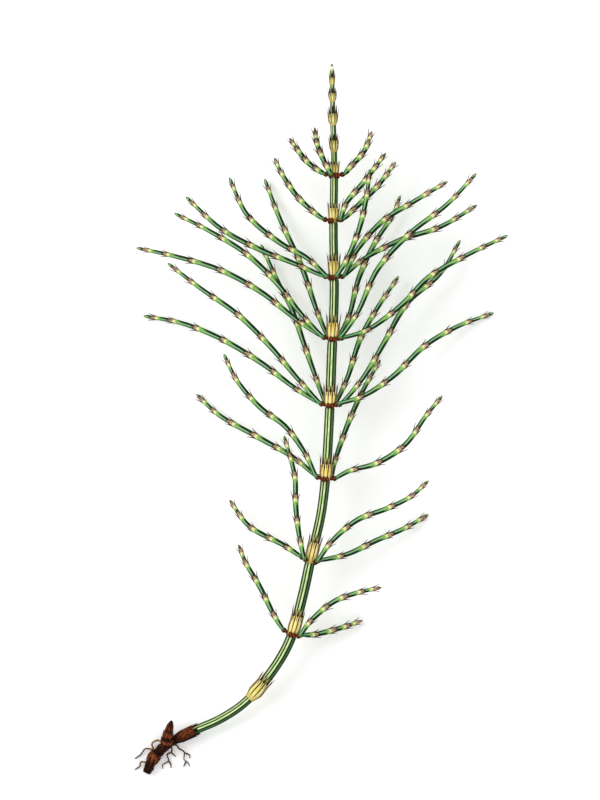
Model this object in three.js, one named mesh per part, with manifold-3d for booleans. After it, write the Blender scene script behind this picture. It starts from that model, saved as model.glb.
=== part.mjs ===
// Field horsetail: one branched green summer shoot with the piece of dark rhizome it was lifted with.
// Millimetres, +Z up. The plant lies on the plane z = 0, its rhizome at -Y and the tip of the shoot at +Y.
// At each joint of the ridged main stem a yellow sheath of fused leaves with dark teeth stands round the
// foot of the next stretch of stem, and a whorl of thin four-angled branches leaves from brown knobs.
import * as THREE from "three";
import { mergeVertices } from "three/addons/utils/BufferGeometryUtils.js";
import Module from "manifold-3d";

const wasm = await Module();
wasm.setup();

// ---- Main stem ------------------------------------------------------------------------------------------

const CLEARANCE = 0.3; // between pieces that seat on each other

// Middle line of the main stem, from the rhizome to the tip.
const STEM_ROUTE = [
  [-43.9, -96.2, 2.9],
  [-37.3, -93.1, 3.4],
  [-30.3, -90.0, 3.9],
  [-22.6, -84.8, 4.8],
  [-14.2, -75.0, 6.7],
  [-9.1, -65.9, 8.2],
  [-5.4, -53.0, 9.9],
  [-3.0, -42.0, 11.1],
  [0.2, -28.0, 12.4],
  [1.7, -15.0, 13.3],
  [2.7, 2.0, 13.9],
  [3.4, 20.0, 14.2],
  [4.1, 37.0, 14.2],
  [3.9, 57.0, 14.0],
  [4.1, 78.0, 13.5],
  [3.7, 92.0, 12.9],
  [3.4, 106.8, 12.4],
];
const RIDGES = 10; // of the main stem, one tooth of each sheath over every ridge
const FURROW = 0.93; // depth of the furrows between them, as a share of the radius
const STEM_FOOT = 0.5; // radius of the stem where it leaves the rhizome, inside the brown sheath
const STEM_LOWEST = 1.4; // radius between the brown sheath and the lowest joint
const STEM_TAPER = 1.2; // length over which the stem narrows below a joint
const STEM_BENDS = 3; // rings between two joints, so that the stem can bend
const NECK_STEP = 0.1; // height of the step where the stem narrows under a sheath
const NECK_END = 0.9; // above a sheath's teeth, where the stem has its full thickness again

// ---- Leaf sheaths ---------------------------------------------------------------------------------------

const SHEATH_WALL = 0.6;
const NECK_PLAY = 0.3; // between a sheath's inner wall and the narrow part of the stem that it hides
const BELLY_AT = 0.45; // where a sheath is as thick as its `belly`, as a share of its body
const TIP_SPREAD = 1.15; // radius at the tips of the teeth, as a share of the rim's

// Joints of the main stem from the lowest up: y where the sheath stands, radius of the stem above it, then
// the sheath's radius at its foot, belly and rim, the height of its body and the length of its teeth.
const JOINTS = [
  { name: "lowest", y: -83.6, stem: 1.6, foot: 1.55, belly: 2.3, rim: 2.15, body: 6.2, teeth: 2.8 },
  { name: "whorl_8", y: -64.7, stem: 1.6, foot: 1.6, belly: 2.05, rim: 1.95, body: 5.8, teeth: 3.0 },
  { name: "whorl_7", y: -42.7, stem: 1.5, foot: 1.5, belly: 2.0, rim: 2.0, body: 5.8, teeth: 2.9 },
  { name: "whorl_6", y: -18.1, stem: 1.5, foot: 1.5, belly: 1.95, rim: 2.05, body: 4.5, teeth: 3.1 },
  { name: "whorl_5", y: 3.9, stem: 1.55, foot: 1.5, belly: 2.0, rim: 2.1, body: 4.1, teeth: 2.9 },
  { name: "whorl_4", y: 23.8, stem: 1.45, foot: 1.5, belly: 1.95, rim: 2.1, body: 4.9, teeth: 3.2 },
  { name: "whorl_3", y: 42.2, stem: 1.35, foot: 1.4, belly: 1.8, rim: 1.95, body: 5.0, teeth: 2.9 },
  { name: "whorl_2", y: 59.3, stem: 1.25, foot: 1.35, belly: 1.6, rim: 1.8, body: 3.9, teeth: 2.1 },
  { name: "whorl_1", y: 72.9, stem: 0.95, foot: 1.25, belly: 1.45, rim: 1.6, body: 3.4, teeth: 1.5 },
];

// Brown sheath where the stem leaves the rhizome.
const BROWN_SHEATH = { foot: 1.4, belly: 1.85, rim: 1.9, body: 6.4, teeth: 1.6, ridges: 8 };

// Small sheaths on the bare top, raised on the stem itself: y of the foot, radius of the stem below it, then
// the radius at the rim and at the tips of the teeth, the height of the body and the length of the teeth.
const TOP_TEETH = 5;
const TOP_JOINTS = [
  { y: 80.4, stem: 0.95, rim: 1.5, tips: 2.1, body: 3.8, teeth: 1.6 },
  { y: 88.4, stem: 0.9, rim: 1.6, tips: 2.1, body: 3.8, teeth: 2.2 },
  { y: 95.5, stem: 0.8, rim: 1.3, tips: 1.7, body: 3.0, teeth: 1.4 },
  { y: 100.6, stem: 0.75, rim: 0.95, tips: 1.1, body: 2.7, teeth: 0.9 },
];
const TOP_BELLY = 0.75; // radius of such a sheath at its belly, as a share of the way from stem to rim
const TOP_LIP = 0.3; // depth of its mouth
const END_BUD = { length: 1.7, radius: 0.75, point: 0.2 };

// ---- Side branches --------------------------------------------------------------------------------------

// In whorls counted from the tip. `bearing` is where the branch leaves the stem, in degrees round it: 0 to
// the right, 90 up, 180 to the left. `through` holds the points that it runs through, its tip the last.
const BRANCHES = {
  whorl_1: {
    left_1: { bearing: 110, through: [[0.4, 79.0, 17.2], [-1.1, 83.0, 19.0], [-1.7, 87.0, 21.5]] },
    left_2: { bearing: 175, through: [[-3.5, 77.0, 14.2], [-6.5, 80.5, 14.8], [-9.3, 84.5, 15.5]] },
    right_1: { bearing: -10, through: [[9.0, 76.0, 12.8], [13.0, 80.5, 12.0], [15.4, 86.5, 10.5]] },
  },
  whorl_2: {
    left_1: { bearing: 190, through: [[-6.5, 66.5, 12.6], [-12.2, 75.0, 10.5], [-13.8, 78.7, 9.5]] },
    right_1: { bearing: 50, through: [[7.6, 64.8, 16.8], [13.4, 71.8, 18.4], [19.5, 79.9, 20.5]] },
    right_2: { bearing: -25, through: [[10.0, 63.2, 12.6], [16.8, 69.8, 11.6], [22.6, 77.4, 9.5]] },
  },
  whorl_3: {
    left_1: {
      bearing: 135,
      through: [[-4.0, 48.5, 17.7], [-12.0, 53.0, 18.7], [-22.0, 61.5, 21.4], [-27.3, 72.5, 24.0]],
    },
    left_2: {
      bearing: 190,
      through: [[-8.0, 47.0, 13.4], [-19.0, 51.5, 13.0], [-30.0, 57.5, 11.8], [-40.4, 67.0, 9.5]],
    },
    right_1: {
      bearing: 75,
      through: [[7.8, 48.0, 18.8], [11.5, 57.0, 20.6], [13.8, 67.0, 23.4], [14.7, 75.0, 25.0]],
    },
    right_2: {
      bearing: 25,
      through: [[11.0, 51.0, 16.0], [18.5, 59.5, 16.2], [28.0, 65.5, 16.1], [38.1, 71.5, 15.0]],
    },
    right_3: {
      bearing: -25,
      through: [[12.5, 48.0, 13.0], [24.0, 54.0, 12.6], [36.0, 58.0, 11.3], [47.0, 64.5, 9.0]],
    },
  },
  whorl_4: {
    left_1: {
      bearing: 245,
      through: [[-0.8, 32.0, 9.4], [-6.0, 47.0, 6.4], [-12.0, 60.0, 3.4], [-16.8, 72.5, 1.5]],
    },
    left_2: {
      bearing: 155,
      through: [
        [-6.0, 32.0, 15.8], [-13.5, 41.5, 16.4], [-22.5, 50.0, 16.2], [-33.0, 56.5, 15.0],
        [-43.8, 62.0, 13.5],
      ],
    },
    left_3: {
      bearing: 200,
      through: [
        [-7.0, 30.0, 12.6], [-18.0, 38.5, 11.3], [-30.0, 45.0, 9.6], [-43.0, 49.0, 7.5],
        [-55.3, 51.7, 5.6],
      ],
    },
    right_1: {
      bearing: -60,
      through: [
        [8.5, 31.0, 10.2], [11.5, 42.5, 8.0], [16.5, 53.5, 5.6], [22.0, 62.0, 4.2],
        [24.0, 67.5, 3.4],
      ],
    },
    right_2: {
      bearing: 45,
      through: [
        [11.0, 32.0, 17.6], [17.0, 45.0, 18.5], [26.2, 55.4, 18.8], [38.0, 64.7, 17.6],
        [46.7, 73.9, 16.0],
      ],
    },
    right_3: {
      bearing: -10,
      through: [
        [14.0, 27.0, 13.8], [24.4, 34.6, 13.5], [32.3, 42.7, 12.9], [43.0, 49.0, 11.4],
        [56.2, 55.4, 8.0],
      ],
    },
  },
  whorl_5: {
    left_1: {
      bearing: 245,
      through: [
        [-1.3, 12.5, 9.4], [-5.0, 23.0, 7.2], [-8.5, 33.0, 4.8], [-13.0, 42.0, 2.8],
        [-17.9, 52.8, 1.4],
      ],
    },
    left_2: {
      bearing: 155,
      through: [
        [-6.5, 12.0, 15.4], [-15.5, 22.5, 16.0], [-25.0, 31.8, 15.7], [-36.0, 39.5, 14.5],
        [-45.8, 47.0, 13.0],
      ],
    },
    left_3: {
      bearing: 200,
      through: [
        [-7.5, 9.5, 11.8], [-18.0, 17.3, 9.0], [-30.5, 24.7, 5.4], [-42.0, 29.2, 2.4],
        [-53.2, 31.3, 0.1],
      ],
    },
    right_1: {
      bearing: -60,
      through: [[8.0, 12.5, 10.8], [12.0, 24.5, 8.4], [17.0, 33.5, 6.2], [23.5, 43.2, 4.4]],
    },
    right_2: {
      bearing: -5,
      through: [
        [12.8, 12.7, 12.4], [19.0, 23.0, 10.0], [26.0, 35.0, 8.2], [36.0, 44.0, 6.6],
        [42.0, 54.0, 5.4],
      ],
    },
    right_3: {
      bearing: 45,
      through: [
        [13.0, 7.3, 14.0], [22.0, 13.3, 11.4], [31.0, 22.0, 7.4], [41.0, 28.0, 3.4],
        [52.1, 32.2, 0.1],
      ],
    },
  },
  whorl_6: {
    left_1: {
      bearing: 150,
      through: [
        [-4.5, -10.2, 15.2], [-10.5, -2.0, 15.4], [-18.0, 3.7, 15.3], [-25.0, 11.8, 15.0],
        [-29.0, 19.8, 14.0],
      ],
    },
    left_2: {
      bearing: 205,
      through: [[-8.0, -11.3, 10.8], [-18.5, -5.3, 7.4], [-30.5, 1.5, 3.2], [-37.3, 7.7, 0.1]],
    },
    right_1: {
      bearing: -55,
      through: [[4.0, -13.5, 9.9], [8.3, -1.0, 9.4], [13.0, 9.3, 8.6], [18.0, 18.1, 7.6]],
    },
    right_2: {
      bearing: 15,
      through: [
        [8.5, -15.3, 13.1], [17.0, -12.9, 12.4], [25.5, -7.3, 11.2], [31.5, 1.0, 9.4],
        [36.6, 7.3, 7.0],
      ],
    },
  },
  whorl_7: {
    left_1: { bearing: 195, through: [[-11.0, -37.6, 9.3], [-21.5, -31.8, 6.4], [-27.3, -24.1, 4.0]] },
    left_2: {
      bearing: 125,
      through: [[-6.3, -35.0, 14.8], [-7.4, -26.0, 16.2], [-7.7, -17.0, 17.2], [-10.9, -4.7, 18.0]],
    },
    right_1: {
      bearing: 50,
      through: [
        [3.0, -36.8, 13.4], [11.0, -30.0, 14.1], [20.0, -26.5, 14.2], [27.0, -23.0, 13.9],
        [32.4, -18.2, 13.0],
      ],
    },
    right_2: {
      bearing: -30,
      through: [[8.0, -40.3, 8.6], [17.0, -36.1, 6.0], [25.0, -32.7, 3.0], [32.5, -28.5, 0.1]],
    },
  },
  whorl_8: {
    left_1: {
      bearing: 165,
      through: [[-13.7, -59.0, 9.6], [-18.5, -49.5, 10.8], [-22.5, -42.7, 11.6], [-24.6, -37.4, 12.0]],
    },
    right_1: {
      bearing: 45,
      through: [[-3.3, -60.7, 11.0], [4.0, -54.5, 12.2], [11.5, -51.7, 12.8], [18.3, -50.2, 13.0]],
    },
    right_2: { bearing: -25, through: [[-2.0, -64.5, 5.6], [6.5, -62.4, 3.4], [12.3, -60.4, 1.4]] },
  },
};

const BRANCH_RADII = [0.62, 0.82, 0.86, 0.78, 0.52]; // evenly spaced from foot to tip
const BRANCH_CORNERS = 4;
const KNOB_RISE = 0.7; // from the foot of the sheath up to the middle of a branch's knob
const KNOB_CLEARANCE = 0.4; // between a knob and the sheath that it sits against
const KNOB_PROFILE = [
  { along: 0.0, radius: 0.47 },
  { along: 0.45, radius: 0.85 },
  { along: 0.95, radius: 0.77 },
  { along: 1.3, radius: BRANCH_RADII[0] },
];
const ELBOW = { out: 3.1, up: 0.3 }; // where a branch turns up, from the stem's middle and from the knob
// Knobs of branches that never grew, raised on the foot of the sheath below the gaps between its teeth: how
// far they stand out, where they are thickest and where they end, as shares of the way up to the belly, and
// the least turn from a branch that did grow, in degrees.
const BARE_KNOB = { proud: 0.7, thickest: 0.25, end: 0.75, room: 25 };
const BRANCH_POINT = { length: 0.8, radius: 0.12 };
const JOINTS_ALWAYS = 3; // a branch has these joints, and more the longer it is
const JOINTS_PER_MM = 0.065;
const FIRST_STRETCH = 0.9; // of a branch, against one stretch between joints in its middle
const LAST_STRETCHES = [0.85, 0.6, 0.4];
// Little sheath at each joint of a branch: where it starts to swell, its teeth, the notches between them and
// its mouth, as millimetres along the branch and shares of its radius.
const SWELL = { along: -1.3, share: 0.97 };
const TOOTH = { along: 1.4, share: 1.5 };
const NOTCH = { along: 0.1, share: 1.2 };
const MOUTH = { along: -0.2, share: 0.85 };

// ---- Rhizome --------------------------------------------------------------------------------------------

// Middle line of the rhizome, from its cut end to the foot of the stem.
const RHIZOME_ROUTE = [
  [-52.3, -106.2, 1.4],
  [-51.3, -103.9, 1.6],
  [-50.2, -101.6, 1.8],
  [-47.9, -99.1, 2.1],
  [-45.7, -97.2, 2.6],
  [-44.2, -96.4, 2.8],
];
const RHIZOME_RIDGES = 8;
const RHIZOME_PROFILE = [
  { along: 0.0, radius: 1.15 },
  { along: 1.8, radius: 1.5 },
  { along: 3.0, radius: 1.45 },
  { along: 4.0, radius: 1.85 },
  { along: 5.1, radius: 2.0 },
];
const RHIZOME_COLLAR = { along: 6.2, radius: 1.95, teeth: 1.2, step: 1.6, lip: 0.3 };
const RHIZOME_TOP = { radius: 1.5, rounding: 0.8, end: 1.2 }; // `end` is the radius after the rounding

// Scaly bud on the rhizome: its middle line, and the tiers of scales as shares of its length.
const BUD_ROUTE = [
  [-46.3, -98.2, 2.6],
  [-46.0, -95.3, 5.1],
  [-44.7, -90.3, 5.7],
];
const BUD_SIDES = 8;
const BUD_FOOT = [
  { share: 0.0, radius: 0.9 },
  { share: 0.26, radius: 1.45 },
];
const BUD_TIERS = [
  { share: 0.46, radius: 1.9, teeth: 1.4, step: 1.45 },
  { share: 0.68, radius: 1.65, teeth: 1.4, step: 1.0 },
  { share: 0.86, radius: 1.1, teeth: 1.1, step: 0.5 },
];
const SCALE_NOTCH = 0.95; // radius between two scales, as a share of the tier's
const SCALE_RISE = 0.5; // from the notches between the scales up to the tier's level
const SCALE_LIP = 0.1;
const BUD_POINT = 0.15;

// Rootlets: each list is the middle line of one, from the rhizome out.
const ROOT_RADIUS = 0.36;
const ROOT_STEP = 1.4;
const ROOT_CORNERS = 4;
const ROOTS = [
  [[-46.8, -97.6, 2.3], [-48.7, -96.4, 2.0], [-49.8, -96.6, 1.6], [-50.7, -97.5, 1.2], [-50.4, -99.0, 1.0],
    [-52.6, -98.9, 0.8], [-54.1, -100.7, 0.5], [-55.8, -101.9, 0.3]],
  [[-51.3, -103.4, 1.6], [-54.0, -102.9, 1.2], [-54.3, -104.1, 0.7], [-55.8, -105.2, 0.3]],
  [[-45.9, -97.8, 2.0], [-44.7, -98.8, 1.6], [-44.9, -99.9, 1.3], [-46.1, -100.6, 1.0], [-45.7, -102.6, 0.7],
    [-47.4, -103.7, 0.5], [-47.5, -104.9, 0.3]],
  [[-45.8, -102.4, 0.7], [-45.0, -103.7, 0.4], [-45.0, -104.7, 0.3]],
  [[-44.9, -100.0, 1.2], [-43.5, -101.3, 0.4]],
  [[-45.5, -97.6, 2.2], [-43.2, -97.9, 1.4], [-42.6, -98.8, 1.2], [-41.0, -99.9, 1.0], [-41.0, -102.2, 0.7],
    [-39.9, -103.1, 0.5], [-39.4, -104.2, 0.3]],
  [[-40.4, -102.8, 0.6], [-41.2, -104.3, 0.3]],
  [[-41.0, -100.1, 0.9], [-39.4, -100.9, 0.6], [-39.3, -101.8, 0.4]],
];

// ---- Materials ------------------------------------------------------------------------------------------

const matte = (color, roughness = 0.6) => new THREE.MeshStandardMaterial({ color, roughness, metalness: 0 });
const MATERIALS = {
  stem: matte(0x7fae62),
  sheath: matte(0xe0c964),
  branch: matte(0x3f8656, 0.55),
  rhizome: matte(0x47240f, 0.75),
  brownSheath: matte(0x6b3417, 0.75),
};

// ---- Shapes ---------------------------------------------------------------------------------------------

const { lerp, clamp, degToRad, euclideanModulo } = THREE.MathUtils;
const LEVEL_UP = new THREE.Vector3(0, 0, 1);
const LENGTH_STEPS = 400; // over which a route's length is measured
const HALVINGS = 40; // of a search along a route
const SAME_POINT = 1e-4; // corners closer than this are one

// A smooth line through points, read by the distance walked along it. Its `up` and `side` are square to the
// way ahead, with `side` level, so that they don't turn round the line.
class Route {
  constructor(points) {
    this.curve = new THREE.CatmullRomCurve3(points, false, "centripetal");
    this.curve.arcLengthDivisions = LENGTH_STEPS;
    this.length = this.curve.getLength();
  }

  at(distance) {
    const share = clamp(distance / this.length, 0, 1);
    const centre = this.curve.getPointAt(share);
    const ahead = this.curve.getTangentAt(share);
    const side = new THREE.Vector3().crossVectors(ahead, LEVEL_UP).normalize();
    const up = new THREE.Vector3().crossVectors(side, ahead);
    return { centre, ahead, side, up };
  }

  // The distance at which a line that always climbs in y passes a given y.
  distanceAtY(y) {
    let low = 0;
    let high = this.length;
    for (let halving = 0; halving < HALVINGS; halving++) {
      const middle = (low + high) / 2;
      if (this.at(middle).centre.y < y) low = middle;
      else high = middle;
    }
    return low;
  }
}

const vectors = (points) => points.map((p) => new THREE.Vector3(...p));

// Corners round a route at one distance. Radius and extra distance ahead may change with the corner.
function ring(route, distance, corners, radius, ahead = () => 0) {
  const radiusAt = typeof radius === "function" ? radius : () => radius;
  const frame = route.at(distance);
  return Array.from({ length: corners }, (_, i) => {
    const turn = (2 * Math.PI * i) / corners;
    return frame.centre
      .clone()
      .addScaledVector(frame.up, radiusAt(i) * Math.cos(turn))
      .addScaledVector(frame.side, radiusAt(i) * Math.sin(turn))
      .addScaledVector(frame.ahead, ahead(i));
  });
}

const ridged = (radius) => (corner) => (corner % 2 ? radius * FURROW : radius);
const everyOther = (even, odd) => (corner) => (corner % 2 ? odd : even);

// A closed surface over a row of rings. A ring may have twice the corners of the one beside it. The two ends
// are closed with fans, or with `loop` the last ring is joined to the first.
function skin(rings, loop = false) {
  const positions = [];
  const triangle = (...corners) => corners.forEach((p) => positions.push(p.x, p.y, p.z));
  const band = (a, b) => {
    if (b.length === 2 * a.length) {
      a.forEach((here, i) => {
        const next = a[(i + 1) % a.length];
        const notch = b[2 * i + 1];
        triangle(here, next, notch);
        triangle(here, notch, b[2 * i]);
        triangle(next, b[(2 * i + 2) % b.length], notch);
      });
    } else if (a.length === 2 * b.length) {
      b.forEach((here, i) => {
        const next = b[(i + 1) % b.length];
        const notch = a[2 * i + 1];
        triangle(a[2 * i], notch, here);
        triangle(notch, next, here);
        triangle(notch, a[(2 * i + 2) % a.length], next);
      });
    } else {
      a.forEach((here, i) => {
        const next = (i + 1) % a.length;
        triangle(here, a[next], b[next]);
        triangle(here, b[next], b[i]);
      });
    }
  };
  const fan = (corners, facesBack) => {
    const middle = corners.reduce((sum, p) => sum.add(p), new THREE.Vector3()).divideScalar(corners.length);
    corners.forEach((here, i) => {
      const next = corners[(i + 1) % corners.length];
      if (facesBack) triangle(middle, next, here);
      else triangle(middle, here, next);
    });
  };
  for (let i = 1; i < rings.length; i++) band(rings[i - 1], rings[i]);
  if (loop) {
    band(rings.at(-1), rings[0]);
  } else {
    fan(rings[0], true);
    fan(rings.at(-1), false);
  }
  const geometry = new THREE.BufferGeometry();
  geometry.setAttribute("position", new THREE.Float32BufferAttribute(positions, 3));
  return mergeVertices(geometry, SAME_POINT);
}

function toSolid(geometry) {
  const bare = geometry.clone();
  bare.deleteAttribute("normal");
  bare.deleteAttribute("uv");
  const merged = mergeVertices(bare, SAME_POINT);
  const vertProperties = merged.attributes.position.array;
  const triVerts = new Uint32Array(merged.index.array);
  return new wasm.Manifold(new wasm.Mesh({ numProp: 3, vertProperties, triVerts }));
}

function toGeometry(solid) {
  const mesh = solid.getMesh();
  const geometry = new THREE.BufferGeometry();
  geometry.setAttribute("position", new THREE.BufferAttribute(mesh.vertProperties, 3));
  geometry.setIndex(new THREE.BufferAttribute(mesh.triVerts, 1));
  return geometry;
}

// Presses a piece flat where it reaches the surface that the plant lies on.
const GROUND_SIZE = 400;
const ground = toSolid(
  new THREE.BoxGeometry(GROUND_SIZE, GROUND_SIZE, GROUND_SIZE).translate(0, 0, -GROUND_SIZE / 2),
);
const restOnGround = (geometry) => toGeometry(toSolid(geometry).subtract(ground));

// ---- Building the main stem and its sheaths -------------------------------------------------------------

const stemRoute = new Route(vectors(STEM_ROUTE));
const joints = JOINTS.map((joint) => ({ ...joint, distance: stemRoute.distanceAtY(joint.y) }));
const STEM_CORNERS = 2 * RIDGES;
const HIDDEN = SHEATH_WALL + NECK_PLAY; // how much slimmer than its sheath the stem is inside it

// Rings of the stem from the narrow neck under a sheath to its full thickness above the teeth.
function stemRingsInSheath(distance, sheath, radius) {
  const height = sheath.body + sheath.teeth;
  const tips = distance + height;
  const neck = sheath.foot - HIDDEN;
  const amongTeeth = Math.min(radius, TIP_SPREAD * sheath.rim - HIDDEN);
  return [
    ring(stemRoute, distance - CLEARANCE, RIDGES, neck),
    ring(stemRoute, distance + sheath.body, RIDGES, lerp(neck, amongTeeth, sheath.body / height)),
    ring(stemRoute, tips + CLEARANCE, STEM_CORNERS, ridged(amongTeeth)),
    ring(stemRoute, tips + NECK_END, STEM_CORNERS, ridged(radius)),
  ];
}

// Rings of a small toothed sheath raised on the bare top of the stem.
function topJointRings(joint, stemAbove) {
  const corners = 2 * TOP_TEETH;
  const distance = stemRoute.distanceAtY(joint.y);
  const mouth = distance + joint.body;
  const belly = lerp(joint.stem, joint.rim, TOP_BELLY);
  return [
    ring(stemRoute, distance, corners, ridged(joint.stem)),
    ring(stemRoute, distance + BELLY_AT * joint.body, corners, ridged(belly)),
    ring(stemRoute, mouth, corners, everyOther(joint.tips, joint.rim), everyOther(joint.teeth, 0)),
    ring(stemRoute, mouth - TOP_LIP, corners, ridged(stemAbove)),
  ];
}

function stemGeometry() {
  const rootEnd = { ...BROWN_SHEATH, foot: STEM_FOOT + HIDDEN };
  const rings = stemRingsInSheath(CLEARANCE, rootEnd, STEM_LOWEST);
  let radius = STEM_LOWEST;
  let start = CLEARANCE + rootEnd.body + rootEnd.teeth + NECK_END;
  for (const joint of joints) {
    const end = joint.distance - CLEARANCE - NECK_STEP;
    for (let i = 1; i <= STEM_BENDS; i++) {
      const distance = lerp(start, end - STEM_TAPER, i / STEM_BENDS);
      rings.push(ring(stemRoute, distance, STEM_CORNERS, ridged(radius)));
    }
    rings.push(ring(stemRoute, end, STEM_CORNERS, ridged(Math.min(joint.foot, radius))));
    rings.push(...stemRingsInSheath(joint.distance, joint, joint.stem));
    radius = joint.stem;
    start = joint.distance + joint.body + joint.teeth + NECK_END;
  }
  // The bare top has fewer ridges, so its own rings follow straight on those inside the topmost sheath.
  rings.length -= 2;
  TOP_JOINTS.forEach((joint, i) => {
    const stemAbove = TOP_JOINTS[i + 1]?.stem ?? END_BUD.radius;
    rings.push(...topJointRings(joint, stemAbove));
  });
  const bud = stemRoute.length - END_BUD.length;
  rings.push(ring(stemRoute, bud, 2 * TOP_TEETH, ridged(END_BUD.radius)));
  rings.push(ring(stemRoute, stemRoute.length, 2 * TOP_TEETH, END_BUD.point));
  return skin(rings);
}

// Rings of the bare knobs on the foot of a joint's sheath. A joint without branches has none.
function bareKnobRings(joint) {
  const bearings = Object.values(BRANCHES[joint.name] ?? {}).map((branch) => branch.bearing);
  if (bearings.length === 0) return [];
  const toBelly = BELLY_AT * joint.body;
  const { proud, thickest, end, room } = BARE_KNOB;
  const radiusAt = (share) => lerp(joint.foot, joint.belly, share);
  const isFree = (corner) => {
    const bearing = 90 - (360 * corner) / STEM_CORNERS; // the first corner faces up
    return bearings.every((taken) => Math.abs(euclideanModulo(taken - bearing + 180, 360) - 180) > room);
  };
  const bare = ridged(radiusAt(thickest));
  const knobbed = (corner) => bare(corner) + (corner % 2 && isFree(corner) ? proud : 0);
  return [
    ring(stemRoute, joint.distance + thickest * toBelly, STEM_CORNERS, knobbed),
    ring(stemRoute, joint.distance + end * toBelly, STEM_CORNERS, ridged(radiusAt(end))),
  ];
}

// A sheath of leaves fused into a toothed collar round the stem, with any knobs between foot and belly.
function sheathGeometry(distance, sheath, ridges, knobRings = []) {
  const corners = 2 * ridges;
  const mouth = distance + sheath.body;
  const rim = (wall) => everyOther(TIP_SPREAD * sheath.rim - wall, sheath.rim - wall);
  const tips = everyOther(sheath.teeth, 0);
  return skin(
    [
      ring(stemRoute, distance, corners, ridged(sheath.foot)),
      ...knobRings,
      ring(stemRoute, distance + BELLY_AT * sheath.body, corners, ridged(sheath.belly)),
      ring(stemRoute, mouth, corners, rim(0), tips),
      ring(stemRoute, mouth, corners, rim(SHEATH_WALL), tips),
      ring(stemRoute, distance, corners, sheath.foot - SHEATH_WALL),
    ],
    true,
  );
}

// ---- Building the branches ------------------------------------------------------------------------------

function branchRoute(joint, branch) {
  const { centre, ahead, side, up } = stemRoute.at(joint.distance + KNOB_RISE);
  const turn = degToRad(branch.bearing);
  const outward = side.clone().multiplyScalar(Math.cos(turn)).addScaledVector(up, Math.sin(turn));
  const knobTop = KNOB_RISE + KNOB_PROFILE[0].radius;
  const sheathRadius = lerp(joint.foot, joint.belly, knobTop / (BELLY_AT * joint.body));
  const foot = centre.clone().addScaledVector(outward, sheathRadius + KNOB_CLEARANCE);
  const elbow = centre.clone().addScaledVector(outward, ELBOW.out).addScaledVector(ahead, ELBOW.up);
  return new Route([foot, elbow, ...vectors(branch.through)]);
}

// Distances of a branch's joints, closer together towards its tip.
function branchJoints(length) {
  const count = Math.round(JOINTS_ALWAYS + JOINTS_PER_MM * length);
  const stretches = Array(count + 1).fill(1);
  stretches[0] = FIRST_STRETCH;
  stretches.splice(-LAST_STRETCHES.length, LAST_STRETCHES.length, ...LAST_STRETCHES);
  const unit = length / stretches.reduce((sum, stretch) => sum + stretch);
  let distance = 0;
  return stretches.slice(0, -1).map((stretch) => (distance += unit * stretch));
}

function branchRadius(share) {
  const steps = BRANCH_RADII.length - 1;
  const step = Math.min(Math.floor(share * steps), steps - 1);
  return lerp(BRANCH_RADII[step], BRANCH_RADII[step + 1], share * steps - step);
}

function branchGeometry(route) {
  const rings = KNOB_PROFILE.map((place) => ring(route, place.along, BRANCH_CORNERS, place.radius));
  for (const distance of branchJoints(route.length)) {
    const radius = branchRadius(distance / route.length);
    const rim = everyOther(radius * TOOTH.share, radius * NOTCH.share);
    const tips = everyOther(TOOTH.along, NOTCH.along);
    rings.push(ring(route, distance + SWELL.along, BRANCH_CORNERS, radius * SWELL.share));
    rings.push(ring(route, distance, 2 * BRANCH_CORNERS, rim, tips));
    rings.push(ring(route, distance + MOUTH.along, BRANCH_CORNERS, radius * MOUTH.share));
  }
  rings.push(ring(route, route.length - BRANCH_POINT.length, BRANCH_CORNERS, BRANCH_RADII.at(-1)));
  rings.push(ring(route, route.length, BRANCH_CORNERS, BRANCH_POINT.radius));
  return skin(rings);
}

// ---- Building the rhizome -------------------------------------------------------------------------------

function rhizomeBody() {
  const route = new Route(vectors(RHIZOME_ROUTE));
  const corners = 2 * RHIZOME_RIDGES;
  const { along, radius, teeth, step, lip } = RHIZOME_COLLAR;
  return skin([
    ...RHIZOME_PROFILE.map((place) => ring(route, place.along, corners, ridged(place.radius))),
    ring(route, along, corners, ridged(radius), everyOther(teeth, 0)),
    ring(route, along - lip, corners, ridged(step)),
    ring(route, route.length - RHIZOME_TOP.rounding, corners, ridged(RHIZOME_TOP.radius)),
    ring(route, route.length, corners, ridged(RHIZOME_TOP.end)),
  ]);
}

function budBody() {
  const route = new Route(vectors(BUD_ROUTE));
  const rings = BUD_FOOT.map((place) => ring(route, place.share * route.length, BUD_SIDES, place.radius));
  for (const tier of BUD_TIERS) {
    const level = tier.share * route.length;
    const outline = everyOther(tier.radius, SCALE_NOTCH * tier.radius);
    const tips = everyOther(tier.teeth, 0);
    rings.push(ring(route, level - tier.teeth, BUD_SIDES, outline));
    rings.push(ring(route, level - SCALE_RISE, BUD_SIDES, outline, tips));
    rings.push(ring(route, level - SCALE_RISE - SCALE_LIP, BUD_SIDES, tier.step));
  }
  rings.push(ring(route, route.length, BUD_SIDES, BUD_POINT));
  return skin(rings);
}

function rootBody(points) {
  const route = new Route(vectors(points));
  const steps = Math.max(2, Math.round(route.length / ROOT_STEP));
  const distances = Array.from({ length: steps + 1 }, (_, i) => (route.length * i) / steps);
  return skin(distances.map((distance) => ring(route, distance, ROOT_CORNERS, ROOT_RADIUS)));
}

function rhizomeGeometry() {
  const pieces = [rhizomeBody(), budBody(), ...ROOTS.map(rootBody)].map(toSolid);
  return toGeometry(pieces.reduce((whole, piece) => whole.add(piece)));
}

// ---- The plant ------------------------------------------------------------------------------------------

const plant = new THREE.Group();

function addPiece(parent, name, geometry, material) {
  const mesh = new THREE.Mesh(geometry, material);
  mesh.name = name;
  parent.add(mesh);
}

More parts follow.
